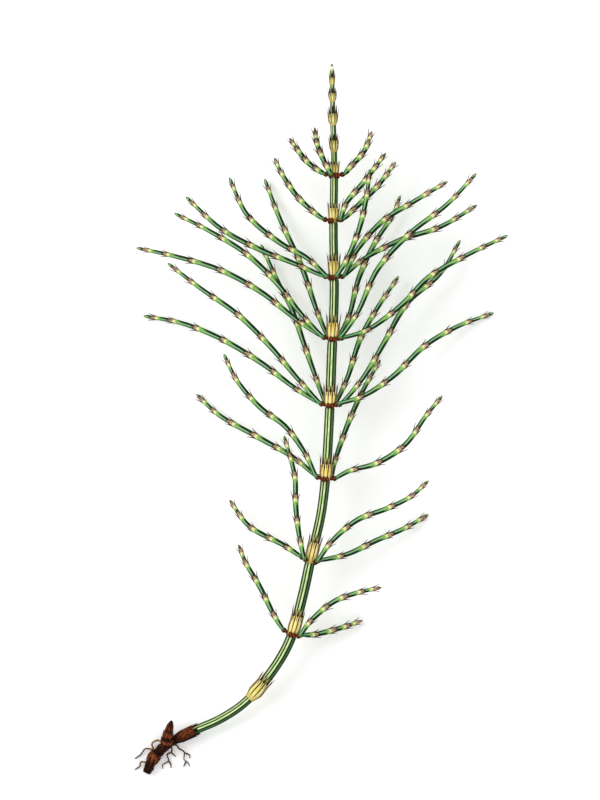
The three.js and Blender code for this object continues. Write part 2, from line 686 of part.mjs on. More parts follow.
const brownSheath = sheathGeometry(0, BROWN_SHEATH, BROWN_SHEATH.ridges);
addPiece(plant, "rhizome", restOnGround(rhizomeGeometry()), MATERIALS.rhizome);
addPiece(plant, "rhizome_sheath", brownSheath, MATERIALS.brownSheath);
addPiece(plant, "stem", stemGeometry(), MATERIALS.stem);
for (const joint of joints) {
  const whorl = new THREE.Group();
  const sheath = sheathGeometry(joint.distance, joint, RIDGES, bareKnobRings(joint));
  addPiece(whorl, `sheath_${joint.name}`, sheath, MATERIALS.sheath);
  for (const [name, branch] of Object.entries(BRANCHES[joint.name] ?? {})) {
    const geometry = restOnGround(branchGeometry(branchRoute(joint, branch)));
    addPiece(whorl, `branch_${joint.name}_${name}`, geometry, MATERIALS.branch);
  }
  plant.add(whorl);
}

export default plant;
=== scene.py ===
"""Looks of a field horsetail: one branched green summer shoot with its piece of dark rhizome, lying on a pale
floor. Every CAD node has one finer piece here, on the same middle lines and radii, with fluted stems, thin
toothed sheaths, knobs, a fibrous rhizome and materials made of nodes."""

import math

import bpy
import numpy as np
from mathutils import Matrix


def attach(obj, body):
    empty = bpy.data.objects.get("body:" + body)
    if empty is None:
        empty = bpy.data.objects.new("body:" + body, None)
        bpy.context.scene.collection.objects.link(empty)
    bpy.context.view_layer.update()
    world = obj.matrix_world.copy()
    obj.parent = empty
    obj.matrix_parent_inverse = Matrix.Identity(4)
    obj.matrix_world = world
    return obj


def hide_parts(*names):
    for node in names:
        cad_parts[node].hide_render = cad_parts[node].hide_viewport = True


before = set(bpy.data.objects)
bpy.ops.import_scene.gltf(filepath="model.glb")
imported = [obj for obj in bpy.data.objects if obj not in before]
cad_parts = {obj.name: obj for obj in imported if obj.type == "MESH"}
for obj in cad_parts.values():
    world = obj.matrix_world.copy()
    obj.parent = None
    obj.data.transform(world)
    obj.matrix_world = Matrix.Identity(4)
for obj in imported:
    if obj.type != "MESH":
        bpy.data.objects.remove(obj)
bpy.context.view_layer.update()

MM = 0.001  # the plant's sizes below are in millimetres, and Blender's are in metres
SEEDS = {"sheaths": 7, "top": 13, "branches": 11, "rhizome": 3, "brown_sheath": 5}  # of the random draws

# ---- Main stem: middle line, ridges and joints, as in the CAD ----------------------------------------------

STEM_ROUTE = [
    (-43.9, -96.2, 2.9),
    (-37.3, -93.1, 3.4),
    (-30.3, -90.0, 3.9),
    (-22.6, -84.8, 4.8),
    (-14.2, -75.0, 6.7),
    (-9.1, -65.9, 8.2),
    (-5.4, -53.0, 9.9),
    (-3.0, -42.0, 11.1),
    (0.2, -28.0, 12.4),
    (1.7, -15.0, 13.3),
    (2.7, 2.0, 13.9),
    (3.4, 20.0, 14.2),
    (4.1, 37.0, 14.2),
    (3.9, 57.0, 14.0),
    (4.1, 78.0, 13.5),
    (3.7, 92.0, 12.9),
    (3.4, 106.8, 12.4),
]
RIDGES = 10
STEM_FOOT = 0.5  # radius where the stem leaves the rhizome
STEM_LOWEST = 1.4  # radius below the lowest joint
STEM_TAPER = 1.2  # length over which the stem narrows below a joint
BELLY_AT = 0.45  # where a sheath is as wide as its belly, as a share of its body

# y of the foot, radius of the stem above, radii of the sheath at foot, belly and rim, its body and its teeth
JOINTS = {
    "lowest": {"y": -83.6, "stem": 1.6, "foot": 1.55, "belly": 2.3, "rim": 2.15, "body": 6.2, "teeth": 2.8},
    "whorl_8": {"y": -64.7, "stem": 1.6, "foot": 1.6, "belly": 2.05, "rim": 1.95, "body": 5.8, "teeth": 3.0},
    "whorl_7": {"y": -42.7, "stem": 1.5, "foot": 1.5, "belly": 2.0, "rim": 2.0, "body": 5.8, "teeth": 2.9},
    "whorl_6": {"y": -18.1, "stem": 1.5, "foot": 1.5, "belly": 1.95, "rim": 2.05, "body": 4.5, "teeth": 3.1},
    "whorl_5": {"y": 3.9, "stem": 1.55, "foot": 1.5, "belly": 2.0, "rim": 2.1, "body": 4.1, "teeth": 2.9},
    "whorl_4": {"y": 23.8, "stem": 1.45, "foot": 1.5, "belly": 1.95, "rim": 2.1, "body": 4.9, "teeth": 3.2},
    "whorl_3": {"y": 42.2, "stem": 1.35, "foot": 1.4, "belly": 1.8, "rim": 1.95, "body": 5.0, "teeth": 2.9},
    "whorl_2": {"y": 59.3, "stem": 1.25, "foot": 1.35, "belly": 1.6, "rim": 1.8, "body": 3.9, "teeth": 2.1},
    "whorl_1": {"y": 72.9, "stem": 0.95, "foot": 1.25, "belly": 1.45, "rim": 1.6, "body": 3.4, "teeth": 1.5},
}
BROWN_SHEATH = {"foot": 1.4, "belly": 1.85, "rim": 1.9, "body": 6.4, "teeth": 1.6}
BROWN_RIDGES = 8
# Bare top: y of a sheath's foot, radius of the stem below, radii at rim and tooth tips, body and teeth
TOP_JOINTS = [
    {"y": 80.4, "stem": 0.95, "rim": 1.5, "tips": 2.1, "body": 3.8, "teeth": 1.6},
    {"y": 88.4, "stem": 0.9, "rim": 1.6, "tips": 2.1, "body": 3.8, "teeth": 2.2},
    {"y": 95.5, "stem": 0.8, "rim": 1.3, "tips": 1.7, "body": 3.0, "teeth": 1.4},
    {"y": 100.6, "stem": 0.75, "rim": 0.95, "tips": 1.1, "body": 2.7, "teeth": 0.9},
]
TOP_BELLY = 0.75  # share of its widening that a top sheath has at its belly
END_BUD = {"length": 1.7, "radius": 0.75, "point": 0.2}

# ---- Side branches, as in the CAD: bearing round the stem, and the points that each runs through ----------

BRANCHES = {
    "whorl_1": {
        "left_1": (110, [(0.4, 79.0, 17.2), (-1.1, 83.0, 19.0), (-1.7, 87.0, 21.5)]),
        "left_2": (175, [(-3.5, 77.0, 14.2), (-6.5, 80.5, 14.8), (-9.3, 84.5, 15.5)]),
        "right_1": (-10, [(9.0, 76.0, 12.8), (13.0, 80.5, 12.0), (15.4, 86.5, 10.5)]),
    },
    "whorl_2": {
        "left_1": (190, [(-6.5, 66.5, 12.6), (-12.2, 75.0, 10.5), (-13.8, 78.7, 9.5)]),
        "right_1": (50, [(7.6, 64.8, 16.8), (13.4, 71.8, 18.4), (19.5, 79.9, 20.5)]),
        "right_2": (-25, [(10.0, 63.2, 12.6), (16.8, 69.8, 11.6), (22.6, 77.4, 9.5)]),
    },
    "whorl_3": {
        "left_1": (135, [(-4.0, 48.5, 17.7), (-12.0, 53.0, 18.7), (-22.0, 61.5, 21.4), (-27.3, 72.5, 24.0)]),
        "left_2": (190, [(-8.0, 47.0, 13.4), (-19.0, 51.5, 13.0), (-30.0, 57.5, 11.8), (-40.4, 67.0, 9.5)]),
        "right_1": (75, [(7.8, 48.0, 18.8), (11.5, 57.0, 20.6), (13.8, 67.0, 23.4), (14.7, 75.0, 25.0)]),
        "right_2": (25, [(11.0, 51.0, 16.0), (18.5, 59.5, 16.2), (28.0, 65.5, 16.1), (38.1, 71.5, 15.0)]),
        "right_3": (-25, [(12.5, 48.0, 13.0), (24.0, 54.0, 12.6), (36.0, 58.0, 11.3), (47.0, 64.5, 9.0)]),
    },
    "whorl_4": {
        "left_1": (245, [(-0.8, 32.0, 9.4), (-6.0, 47.0, 6.4), (-12.0, 60.0, 3.4), (-16.8, 72.5, 1.5)]),
        "left_2": (155, [(-6.0, 32.0, 15.8), (-13.5, 41.5, 16.4), (-22.5, 50.0, 16.2), (-33.0, 56.5, 15.0),
                         (-43.8, 62.0, 13.5)]),
        "left_3": (200, [(-7.0, 30.0, 12.6), (-18.0, 38.5, 11.3), (-30.0, 45.0, 9.6), (-43.0, 49.0, 7.5),
                         (-55.3, 51.7, 5.6)]),
        "right_1": (-60, [(8.5, 31.0, 10.2), (11.5, 42.5, 8.0), (16.5, 53.5, 5.6), (22.0, 62.0, 4.2),
                          (24.0, 67.5, 3.4)]),
        "right_2": (45, [(11.0, 32.0, 17.6), (17.0, 45.0, 18.5), (26.2, 55.4, 18.8), (38.0, 64.7, 17.6),
                         (46.7, 73.9, 16.0)]),
        "right_3": (-10, [(14.0, 27.0, 13.8), (24.4, 34.6, 13.5), (32.3, 42.7, 12.9), (43.0, 49.0, 11.4),
                          (56.2, 55.4, 8.0)]),
    },
    "whorl_5": {
        "left_1": (245, [(-1.3, 12.5, 9.4), (-5.0, 23.0, 7.2), (-8.5, 33.0, 4.8), (-13.0, 42.0, 2.8),
                         (-17.9, 52.8, 1.4)]),
        "left_2": (155, [(-6.5, 12.0, 15.4), (-15.5, 22.5, 16.0), (-25.0, 31.8, 15.7), (-36.0, 39.5, 14.5),
                         (-45.8, 47.0, 13.0)]),
        "left_3": (200, [(-7.5, 9.5, 11.8), (-18.0, 17.3, 9.0), (-30.5, 24.7, 5.4), (-42.0, 29.2, 2.4),
                         (-53.2, 31.3, 0.1)]),
        "right_1": (-60, [(8.0, 12.5, 10.8), (12.0, 24.5, 8.4), (17.0, 33.5, 6.2), (23.5, 43.2, 4.4)]),
        "right_2": (-5, [(12.8, 12.7, 12.4), (19.0, 23.0, 10.0), (26.0, 35.0, 8.2), (36.0, 44.0, 6.6),
                         (42.0, 54.0, 5.4)]),
        "right_3": (45, [(13.0, 7.3, 14.0), (22.0, 13.3, 11.4), (31.0, 22.0, 7.4), (41.0, 28.0, 3.4),
                         (52.1, 32.2, 0.1)]),
    },
    "whorl_6": {
        "left_1": (150, [(-4.5, -10.2, 15.2), (-10.5, -2.0, 15.4), (-18.0, 3.7, 15.3), (-25.0, 11.8, 15.0),
                         (-29.0, 19.8, 14.0)]),
        "left_2": (205, [(-8.0, -11.3, 10.8), (-18.5, -5.3, 7.4), (-30.5, 1.5, 3.2), (-37.3, 7.7, 0.1)]),
        "right_1": (-55, [(4.0, -13.5, 9.9), (8.3, -1.0, 9.4), (13.0, 9.3, 8.6), (18.0, 18.1, 7.6)]),
        "right_2": (15, [(8.5, -15.3, 13.1), (17.0, -12.9, 12.4), (25.5, -7.3, 11.2), (31.5, 1.0, 9.4),
                         (36.6, 7.3, 7.0)]),
    },
    "whorl_7": {
        "left_1": (195, [(-11.0, -37.6, 9.3), (-21.5, -31.8, 6.4), (-27.3, -24.1, 4.0)]),
        "left_2": (125, [(-6.3, -35.0, 14.8), (-7.4, -26.0, 16.2), (-7.7, -17.0, 17.2), (-10.9, -4.7, 18.0)]),
        "right_1": (50, [(3.0, -36.8, 13.4), (11.0, -30.0, 14.1), (20.0, -26.5, 14.2), (27.0, -23.0, 13.9),
                         (32.4, -18.2, 13.0)]),
        "right_2": (-30, [(8.0, -40.3, 8.6), (17.0, -36.1, 6.0), (25.0, -32.7, 3.0), (32.5, -28.5, 0.1)]),
    },
    "whorl_8": {
        "left_1": (165, [(-13.7, -59.0, 9.6), (-18.5, -49.5, 10.8), (-22.5, -42.7, 11.6),
                         (-24.6, -37.4, 12.0)]),
        "right_1": (45, [(-3.3, -60.7, 11.0), (4.0, -54.5, 12.2), (11.5, -51.7, 12.8), (18.3, -50.2, 13.0)]),
        "right_2": (-25, [(-2.0, -64.5, 5.6), (6.5, -62.4, 3.4), (12.3, -60.4, 1.4)]),
    },
}
BRANCH_RADII = (0.62, 0.82, 0.86, 0.78, 0.52)  # at even steps from the foot of a branch to its tip
KNOB_RISE = 0.7  # from the foot of a sheath up to where its branches leave
KNOB_CLEARANCE = 0.4  # from the sheath out to the foot of a branch
KNOB_ALONG = (0.0, 0.45, 0.95, 1.3)  # distances along a branch
KNOB_RADII = (0.47, 0.85, 0.77, BRANCH_RADII[0])
ELBOW = {"out": 3.1, "up": 0.3}  # the point through which a branch leaves the stem, from the stem's middle
BRANCH_POINT = {"length": 0.8, "radius": 0.12}
JOINTS_ALWAYS = 3  # a branch has this many joints, and more by its length
JOINTS_PER_MM = 0.065
FIRST_STRETCH = 0.9  # length of the stretch up to the first joint, against a common one
LAST_STRETCHES = (0.85, 0.6, 0.4)

# ---- Rhizome, with the routes and radii of the CAD ---------------------------------------------------------

RHIZOME_ROUTE = [
    (-52.3, -106.2, 1.4),
    (-51.3, -103.9, 1.6),
    (-50.2, -101.6, 1.8),
    (-47.9, -99.1, 2.1),
    (-45.7, -97.2, 2.6),
    (-44.2, -96.4, 2.8),
]
RHIZOME_ALONG = (0.0, 1.8, 3.0, 4.0, 5.1, 6.2, 6.5)  # distances along it from its cut end
RHIZOME_RADII = (1.15, 1.5, 1.45, 1.85, 2.0, 1.95, 1.6)
RHIZOME_RIDGES = 8
RHIZOME_TOP = {"radius": 1.5, "rounding": 0.8, "end": 1.2}
BUD_ROUTE = [(-46.3, -98.2, 2.6), (-46.0, -95.3, 5.1), (-44.7, -90.3, 5.7)]
# Rings of scales on the bud: share of its length near which their tips lie, radius, and length of their teeth
BUD_TIERS = [
    {"share": 0.46, "radius": 1.9, "teeth": 1.4},
    {"share": 0.68, "radius": 1.65, "teeth": 1.4},
    {"share": 0.86, "radius": 1.1, "teeth": 1.1},
]
BUD_SIDES = 8
ROOTS = [
    [(-46.8, -97.6, 2.3), (-48.7, -96.4, 2.0), (-49.8, -96.6, 1.6), (-50.7, -97.5, 1.2), (-50.4, -99.0, 1.0),
     (-52.6, -98.9, 0.8), (-54.1, -100.7, 0.5), (-55.8, -101.9, 0.3)],
    [(-51.3, -103.4, 1.6), (-54.0, -102.9, 1.2), (-54.3, -104.1, 0.7), (-55.8, -105.2, 0.3)],
    [(-45.9, -97.8, 2.0), (-44.7, -98.8, 1.6), (-44.9, -99.9, 1.3), (-46.1, -100.6, 1.0),
     (-45.7, -102.6, 0.7), (-47.4, -103.7, 0.5), (-47.5, -104.9, 0.3)],
    [(-45.8, -102.4, 0.7), (-45.0, -103.7, 0.4), (-45.0, -104.7, 0.3)],
    [(-44.9, -100.0, 1.2), (-43.5, -101.3, 0.4)],
    [(-45.5, -97.6, 2.2), (-43.2, -97.9, 1.4), (-42.6, -98.8, 1.2), (-41.0, -99.9, 1.0), (-41.0, -102.2, 0.7),
     (-39.9, -103.1, 0.5), (-39.4, -104.2, 0.3)],
    [(-40.4, -102.8, 0.6), (-41.2, -104.3, 0.3)],
    [(-41.0, -100.1, 0.9), (-39.4, -100.9, 0.6), (-39.3, -101.8, 0.4)],
]

# ---- Lines and surfaces ------------------------------------------------------------------------------------

LENGTH_STEPS = 400  # in which a route's length is measured
TANGENT_STEP = 1e-4  # to both sides of a point on a route, to find which way it runs there
FLANK = 0.2  # cosine of the turn from the top at which the upper side of a line begins to fade
LEVEL_UP = np.array((0.0, 0.0, 1.0))


def unit(vectors):
    return vectors / np.linalg.norm(vectors, axis=-1, keepdims=True)


def smooth(value, low, high):
    """Rises smoothly from 0 at low to 1 at high."""
    share = np.clip((value - low) / (high - low), 0, 1)
    return share * share * (3 - 2 * share)


def band(value, centre, core, reach):
    """1 within core of a centre, falling smoothly to 0 at reach from it."""
    return 1 - smooth(np.abs(value - centre), core, reach)


def turns(columns):
    """Angles round a line, from straight up towards its right side."""
    return np.arange(columns) * 2 * math.pi / columns


def across(angles):
    """Degrees from the top or the underside towards the right side of a line, from -90 to 90."""
    return np.degrees(np.arctan2(np.sin(angles), np.abs(np.cos(angles))))


def upper(angles):
    """1 on the upper side of a line, falling to 0 at its flanks."""
    return smooth(np.cos(angles), 0.0, FLANK)


class Route:
    """A smooth line through points, read by the distance walked along it."""

    def __init__(self, points):
        self.points = np.array(points, float)
        self.shares = np.linspace(0, 1, LENGTH_STEPS + 1)
        steps = np.linalg.norm(np.diff(self.point(self.shares), axis=0), axis=1)
        self.walked = np.concatenate([[0], np.cumsum(steps)])
        self.length = self.walked[-1]

    def point(self, shares):
        """Centripetal Catmull-Rom spline through the points, at shares of its parameter."""
        points = self.points
        stretches = len(points) - 1
        before = 2 * points[0] - points[1]
        after = 2 * points[-1] - points[-2]
        padded = np.vstack([before, points, after])
        place = np.clip(shares, 0, 1) * stretches
        index = np.minimum(place.astype(int), stretches - 1)
        t = (place - index)[:, None]
        a, b, c, d = (padded[index + k] for k in range(4))
        ab, bc, cd = (np.sqrt(np.linalg.norm(q - p, axis=1))[:, None] for p, q in ((a, b), (b, c), (c, d)))
        leave = ((b - a) / ab - (c - a) / (ab + bc) + (c - b) / bc) * bc
        arrive = ((c - b) / bc - (d - b) / (bc + cd) + (d - c) / cd) * bc
        square = -3 * b + 3 * c - 2 * leave - arrive
        cube = 2 * b - 2 * c + leave + arrive
        return b + leave * t + square * t**2 + cube * t**3

    def frames(self, distances):
        """Centre, way ahead, side and up at each distance. Beyond its ends the line runs straight on."""
        inside = np.clip(distances, 0, self.length)
        shares = np.interp(inside, self.walked, self.shares)
        low = np.clip(shares - TANGENT_STEP, 0, 1)
        high = np.clip(shares + TANGENT_STEP, 0, 1)
        ahead = unit(self.point(high) - self.point(low))
        side = unit(np.cross(ahead, LEVEL_UP))
        up = np.cross(side, ahead)
        centre = self.point(shares) + ahead * (distances - inside)[:, None]
        return centre, ahead, side, up

    def distance_at_y(self, y):
        line = self.point(self.shares)
        return float(np.interp(y, line[:, 1], self.walked))


class Piece:
    """Collects patches of surface with their marks, and makes one Blender mesh of them."""

    def __init__(self):
        self.points = []
        self.faces = []
        self.grain = []
        self.marks = {}
        self.count = 0

    def add(self, route, distances, angles, radii, loop=False, **marks):
        """Adds a patch round a route, in rows of columns, closed by its ends or by a loop of rows. Marks are
        numbers from 0 to 1 for its material."""
        shape = np.broadcast_shapes(np.shape(distances), np.shape(angles), np.shape(radii))
        parts = [np.broadcast_to(part, shape).ravel() for part in (distances, angles, radii)]
        distances, angles, radii = parts
        centre, _, side, up = route.frames(distances)
        outward = up * np.cos(angles)[:, None] + side * np.sin(angles)[:, None]
        self.points.append(centre + outward * radii[:, None])
        self.grain.append(np.column_stack([np.cos(angles), np.sin(angles), distances]))
        index = self.count + np.arange(len(distances)).reshape(shape)
        row = index if loop else index[:-1]
        next_row = np.roll(index, -1, axis=0) if loop else index[1:]
        corners = (row, np.roll(row, -1, axis=1), np.roll(next_row, -1, axis=1), next_row)
        self.faces += np.stack(corners, axis=-1).reshape(-1, 4).tolist()
        if not loop:
            self.faces.append(index[0][::-1].tolist())
            self.faces.append(index[-1].tolist())
        for name in sorted(set(self.marks) | set(marks)):
            earlier = self.marks.setdefault(name, [np.zeros(self.count)])
            earlier.append(np.broadcast_to(marks.get(name, 0.0), shape).astype(float).ravel())
        self.count += len(distances)

    def build(self, name, material, node=None):
        """Makes the mesh, pressed flat where it lies on the surface, and has it stand in for a CAD node."""
        points = np.vstack(self.points)
        points[:, 2] = np.maximum(points[:, 2], 0)
        mesh = bpy.data.meshes.new(name)
        mesh.from_pydata((points * MM).tolist(), [], self.faces)
        mesh.polygons.foreach_set("use_smooth", [True] * len(mesh.polygons))
        grain = mesh.attributes.new("grain", "FLOAT_VECTOR", "POINT")
        grain.data.foreach_set("vector", np.vstack(self.grain).astype(np.float32).ravel())
        for mark, values in self.marks.items():
            attribute = mesh.attributes.new(mark, "FLOAT", "POINT")
            attribute.data.foreach_set("value", np.concatenate(values).astype(np.float32))
        mesh.materials.append(material)
        piece = bpy.data.objects.new(name, mesh)
        bpy.context.scene.collection.objects.link(piece)
        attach(piece, "root")
        if node:
            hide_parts(node)


# ---- Materials ---------------------------------------------------------------------------------------------

# Sockets of the mix node for colours, which bear the same names as those for numbers and vectors
MIX_FIRST = 6
MIX_SECOND = 7
MIX_RESULT = 2


def colour(red, green, blue):
    """A colour given as 0 to 255 on a screen, in Blender's linear numbers."""
    parts = [part / 255 for part in (red, green, blue)]
    linear = [p / 12.92 if p <= 0.04045 else ((p + 0.055) / 1.055) ** 2.4 for p in parts]
    return (*linear, 1.0)


class Material:
    """A node material with helpers that add one node each and give back its output."""

    def __init__(self, name, roughness, gloss):
        self.material = bpy.data.materials.new(name)
        self.material.use_nodes = True
        self.tree = self.material.node_tree
        self.shader = self.tree.nodes["Principled BSDF"]
        self.shader.inputs["Roughness"].default_value = roughness
        self.shader.inputs["Specular IOR Level"].default_value = gloss

    def put(self, socket, value):
        if isinstance(value, bpy.types.NodeSocket):
            self.tree.links.new(value, socket)
        else:
            socket.default_value = value

    def mark(self, name, vector=False):
        node = self.tree.nodes.new("ShaderNodeAttribute")
        node.attribute_name = name
        return node.outputs["Vector" if vector else "Fac"]

    def noise(self, scale, stretch=(1.0, 1.0, 1.0), detail=3.0, roughness=0.55):
        """Noise that runs with the grain of the piece, so that stretching it makes streaks along a stem."""
        mapping = self.tree.nodes.new("ShaderNodeMapping")
        mapping.inputs["Scale"].default_value = stretch
        self.put(mapping.inputs["Vector"], self.mark("grain", vector=True))
        node = self.tree.nodes.new("ShaderNodeTexNoise")
        node.inputs["Scale"].default_value = scale
        node.inputs["Detail"].default_value = detail
        node.inputs["Roughness"].default_value = roughness
        self.put(node.inputs["Vector"], mapping.outputs["Vector"])
        return node.outputs["Fac"]

    def maths(self, operation, first, second=0.0):
        node = self.tree.nodes.new("ShaderNodeMath")
        node.operation = operation
        self.put(node.inputs[0], first)
        self.put(node.inputs[1], second)
        return node.outputs[0]

    def between(self, value, low, high):
        """Rises smoothly from 0 to 1 as the value goes from low to high."""
        node = self.tree.nodes.new("ShaderNodeMapRange")
        node.interpolation_type = "SMOOTHSTEP"
        self.put(node.inputs["Value"], value)
        node.inputs["From Min"].default_value = low
        node.inputs["From Max"].default_value = high
        return node.outputs["Result"]

    def broken(self, mark, noise, share, low, high):
        """A mark with ragged edges: the noise moves the level at which it starts."""
        ragged = self.maths("ADD", self.mark(mark), self.maths("MULTIPLY", noise, share))
        return self.between(ragged, low, high)

    def mix(self, share, first, second):
        node = self.tree.nodes.new("ShaderNodeMix")
        node.data_type = "RGBA"
        self.put(node.inputs["Factor"], share)
        self.put(node.inputs[MIX_FIRST], first)
        self.put(node.inputs[MIX_SECOND], second)
        return node.outputs[MIX_RESULT]

    def over(self, base, mark, strength, tint):
        """The base with a tint laid over it where the mark is, at the given strength."""
        return self.mix(self.maths("MULTIPLY", self.mark(mark), strength), base, tint)

    def knobs(self, base, specks):
        """The base with dark maroon knobs that have orange-brown spots, and black painted shade round their
        outlines.
        """
        skin = self.mix(self.between(specks, 0.54, 0.64), colour(58, 22, 14), colour(214, 108, 36))
        # Painted shade: black on a knob's flanks and where it meets the sheath
        skin = self.over(skin, "cleft", 1.0, colour(20, 9, 6))
        return self.mix(self.mark("knob"), base, skin)

    def finish(self, base, height, depth, strength=0.6):
        """Sets the colour, and a bump of the given depth in millimetres."""
        self.put(self.shader.inputs["Base Color"], base)
        bump = self.tree.nodes.new("ShaderNodeBump")
        bump.inputs["Strength"].default_value = strength
        bump.inputs["Distance"].default_value = depth * MM
        self.put(bump.inputs["Height"], height)
        self.put(self.shader.inputs["Normal"], bump.outputs["Normal"])
        return self.material


def stem_material():
    made = Material("horsetail_stem", roughness=0.5, gloss=0.12)
    streaks = made.noise(1.8, (1.0, 1.0, 0.03), detail=4.0)
    fine = made.noise(7.0, (1.0, 1.0, 0.06), detail=3.0)
    base = made.mix(made.between(streaks, 0.4, 0.6), colour(76, 140, 76), colour(128, 184, 102))
    # Painted highlight: a pale band along the stem's top ridge and a thinner one to its left, with near-white
    # painted glints in it
    base = made.over(base, "bright", 0.9, colour(196, 224, 138))
    glints = made.maths("MULTIPLY", made.mark("bright"), made.between(fine, 0.46, 0.62))
    base = made.mix(glints, base, colour(246, 248, 202))
    # Painted shade: dark green bands right of the top ridge, and a thin one to its left
    base = made.over(base, "dusk", 0.8, colour(28, 74, 40))
    base = made.over(base, "mouth", 0.75, colour(206, 204, 116))
    # Painted shade: grey-brown hatching on the flanks of the stem's upper side
    painted_shade_hatching = made.mix(made.between(fine, 0.48, 0.6), colour(34, 28, 24), colour(140, 124, 100))
    base = made.over(base, "side", 0.9, painted_shade_hatching)
    # Painted shade: near-black lines in the furrows between the ridges, weaker where a sheath's teeth stand
    # round the stem
    base = made.mix(made.broken("furrow", fine, 0.4, 0.42, 0.7), base, colour(10, 26, 15))
    # Painted shade: a dark line along each flank of the stem's upper side
    base = made.over(base, "edge", 0.9, colour(20, 24, 18))
    base = made.over(base, "cap", 1.0, colour(244, 238, 206))
    base = made.over(base, "tip", 1.0, colour(84, 48, 32))
    return made.finish(base, fine, depth=0.06)


def sheath_material():
    made = Material("horsetail_sheath", roughness=0.6, gloss=0.08)
    streaks = made.noise(2.4, (1.0, 1.0, 0.08), detail=4.0)
    specks = made.noise(6.0, (1.0, 1.0, 0.5), detail=4.0)
    base = made.mix(made.between(streaks, 0.38, 0.62), colour(238, 208, 96), colour(252, 242, 170))
    base = made.over(base, "green", 0.55, colour(176, 200, 104))
    # Painted shade: brown darkening towards the sheath's foot
    base = made.over(base, "foot", 0.45, colour(176, 136, 60))
    # Painted shade: brown hatching on the flanks of the sheath's upper side
    painted_shade_hatching = made.mix(made.between(specks, 0.44, 0.6), colour(84, 48, 38), colour(216, 184, 150))
    base = made.over(base, "side", 0.8, painted_shade_hatching)
    base = made.mix(made.broken("seam", specks, 0.4, 0.34, 0.66), base, colour(74, 34, 20))
    base = made.mix(made.broken("tooth", specks, 0.35, 0.35, 0.75), base, colour(60, 32, 24))
    # Painted shade: a dark line along each flank of the sheath's upper side
    base = made.over(base, "edge", 0.85, colour(40, 22, 16))
    base = made.knobs(base, specks)
    return made.finish(base, streaks, depth=0.08)


def branch_material():
    made = Material("horsetail_branch", roughness=0.5, gloss=0.1)
    streaks = made.noise(2.0, (1.0, 1.0, 0.12), detail=3.0)
    specks = made.noise(5.0, (1.0, 1.0, 0.8), detail=4.0)
    base = made.mix(made.between(streaks, 0.35, 0.65), colour(42, 108, 60), colour(84, 152, 88))
    base = made.over(base, "ripe", 0.85, colour(142, 192, 92))
    # Painted highlight: a thin pale line left of each branch's top, weaker towards each joint
    base = made.over(base, "crest", 0.75, colour(184, 226, 172))
    # Painted shade: a near-black band right of each branch's top and a thin line to its left, fading towards
    # each joint
    base = made.mix(made.broken("stripe", specks, 0.3, 0.34, 0.7), base, colour(6, 32, 18))
    # Painted shade: dark flanks on each branch's upper side
    base = made.over(base, "edge", 0.9, colour(12, 28, 18))
    base = made.over(base, "cream", 1.0, colour(248, 240, 176))
    papery = made.mix(made.between(specks, 0.48, 0.6), colour(118, 76, 54), colour(246, 230, 180))
    base = made.over(base, "paper", 1.0, papery)
    base = made.mix(made.broken("tooth", specks, 0.3, 0.4, 0.8), base, colour(66, 34, 28))
    base = made.knobs(base, specks)
    return made.finish(base, specks, depth=0.05)


def rhizome_material():
    made = Material("horsetail_rhizome", roughness=0.7, gloss=0.04)
    fibres = made.noise(4.6, (1.0, 1.0, 0.13), detail=6.0, roughness=0.65)
    grains = made.noise(8.0, (1.0, 1.0, 0.14), detail=5.0, roughness=0.6)
    base = made.mix(made.between(fibres, 0.5, 0.7), colour(18, 8, 5), colour(92, 46, 24))
    red = made.maths("MULTIPLY", made.mark("rust"), made.between(grains, 0.45, 0.58))
    base = made.mix(red, base, colour(158, 82, 44))
    # Painted shade: near black towards the foot of each sheath on the rhizome and the bud
    base = made.over(base, "foot", 0.75, colour(18, 8, 5))
    # Painted shade: near black on the right-hand side of the brown sheath
    base = made.over(base, "right", 0.85, colour(22, 10, 6))
    # Painted shade: near-black lines in the furrows of the rhizome and the bud
    base = made.mix(made.broken("furrow", grains, 0.4, 0.5, 0.9), base, colour(12, 6, 4))
    base = made.over(base, "tooth", 1.0, colour(14, 8, 6))
    return made.finish(base, fibres, depth=0.25, strength=0.9)


def root_material():
    made = Material("horsetail_root", roughness=0.75, gloss=0.05)
    specks = made.noise(3.0, (1.0, 1.0, 0.6), detail=4.0)
    base = made.mix(made.between(specks, 0.38, 0.6), colour(96, 66, 38), colour(190, 158, 104))
    # Painted shade: dark flanks along each rootlet
    base = made.over(base, "edge", 0.9, colour(48, 32, 20))
    base = made.over(base, "tooth", 0.9, colour(50, 34, 22))
    return made.finish(base, specks, depth=0.08)


MATERIALS = {
    "stem": stem_material(),
    "sheath": sheath_material(),
    "branch": branch_material(),
    "rhizome": rhizome_material(),
    "root": root_material(),
}

# ---- Sheaths -----------------------------------------------------------------------------------------------

SHELL = 0.15  # thickness of a sheath's wall
INNER_GAP = 0.15  # between a sheath and the stem that it hides
TOOTH_COLUMNS = 14  # of the surface, to a tooth
BODY_ROWS = 16
TOOTH_ROWS = 11  # the first of them is the last of the body
# How narrow a tooth is at its foot, how its sides curve, how far the rim rises between two teeth, how late a
# tooth bends outwards, and how much of its wall it loses up to its tip
TOOTH_SHAPE = {"narrow": 1.5, "curve": 1.35, "rim": 0.02, "flare": 1.5, "thin": 0.85}
TOOTH_LENGTHS = (0.85, 1.1)  # the shortest and the longest, against a common one
TIP_STRAY = 0.12  # how far the tips of the close teeth differ in their radius
# Grooves between the leaves of a sheath: depth as a share of its radius, how far off a tooth's middle they
# start at the sheath's foot, and how much closer at its rim
SEAM = {"depth": 0.08, "start": 0.8, "closer": 0.35}
SPINE_TINT = 0.75  # of the dark line up the middle of a leaf
TOOTH_TINT = 0.8  # of the teeth themselves
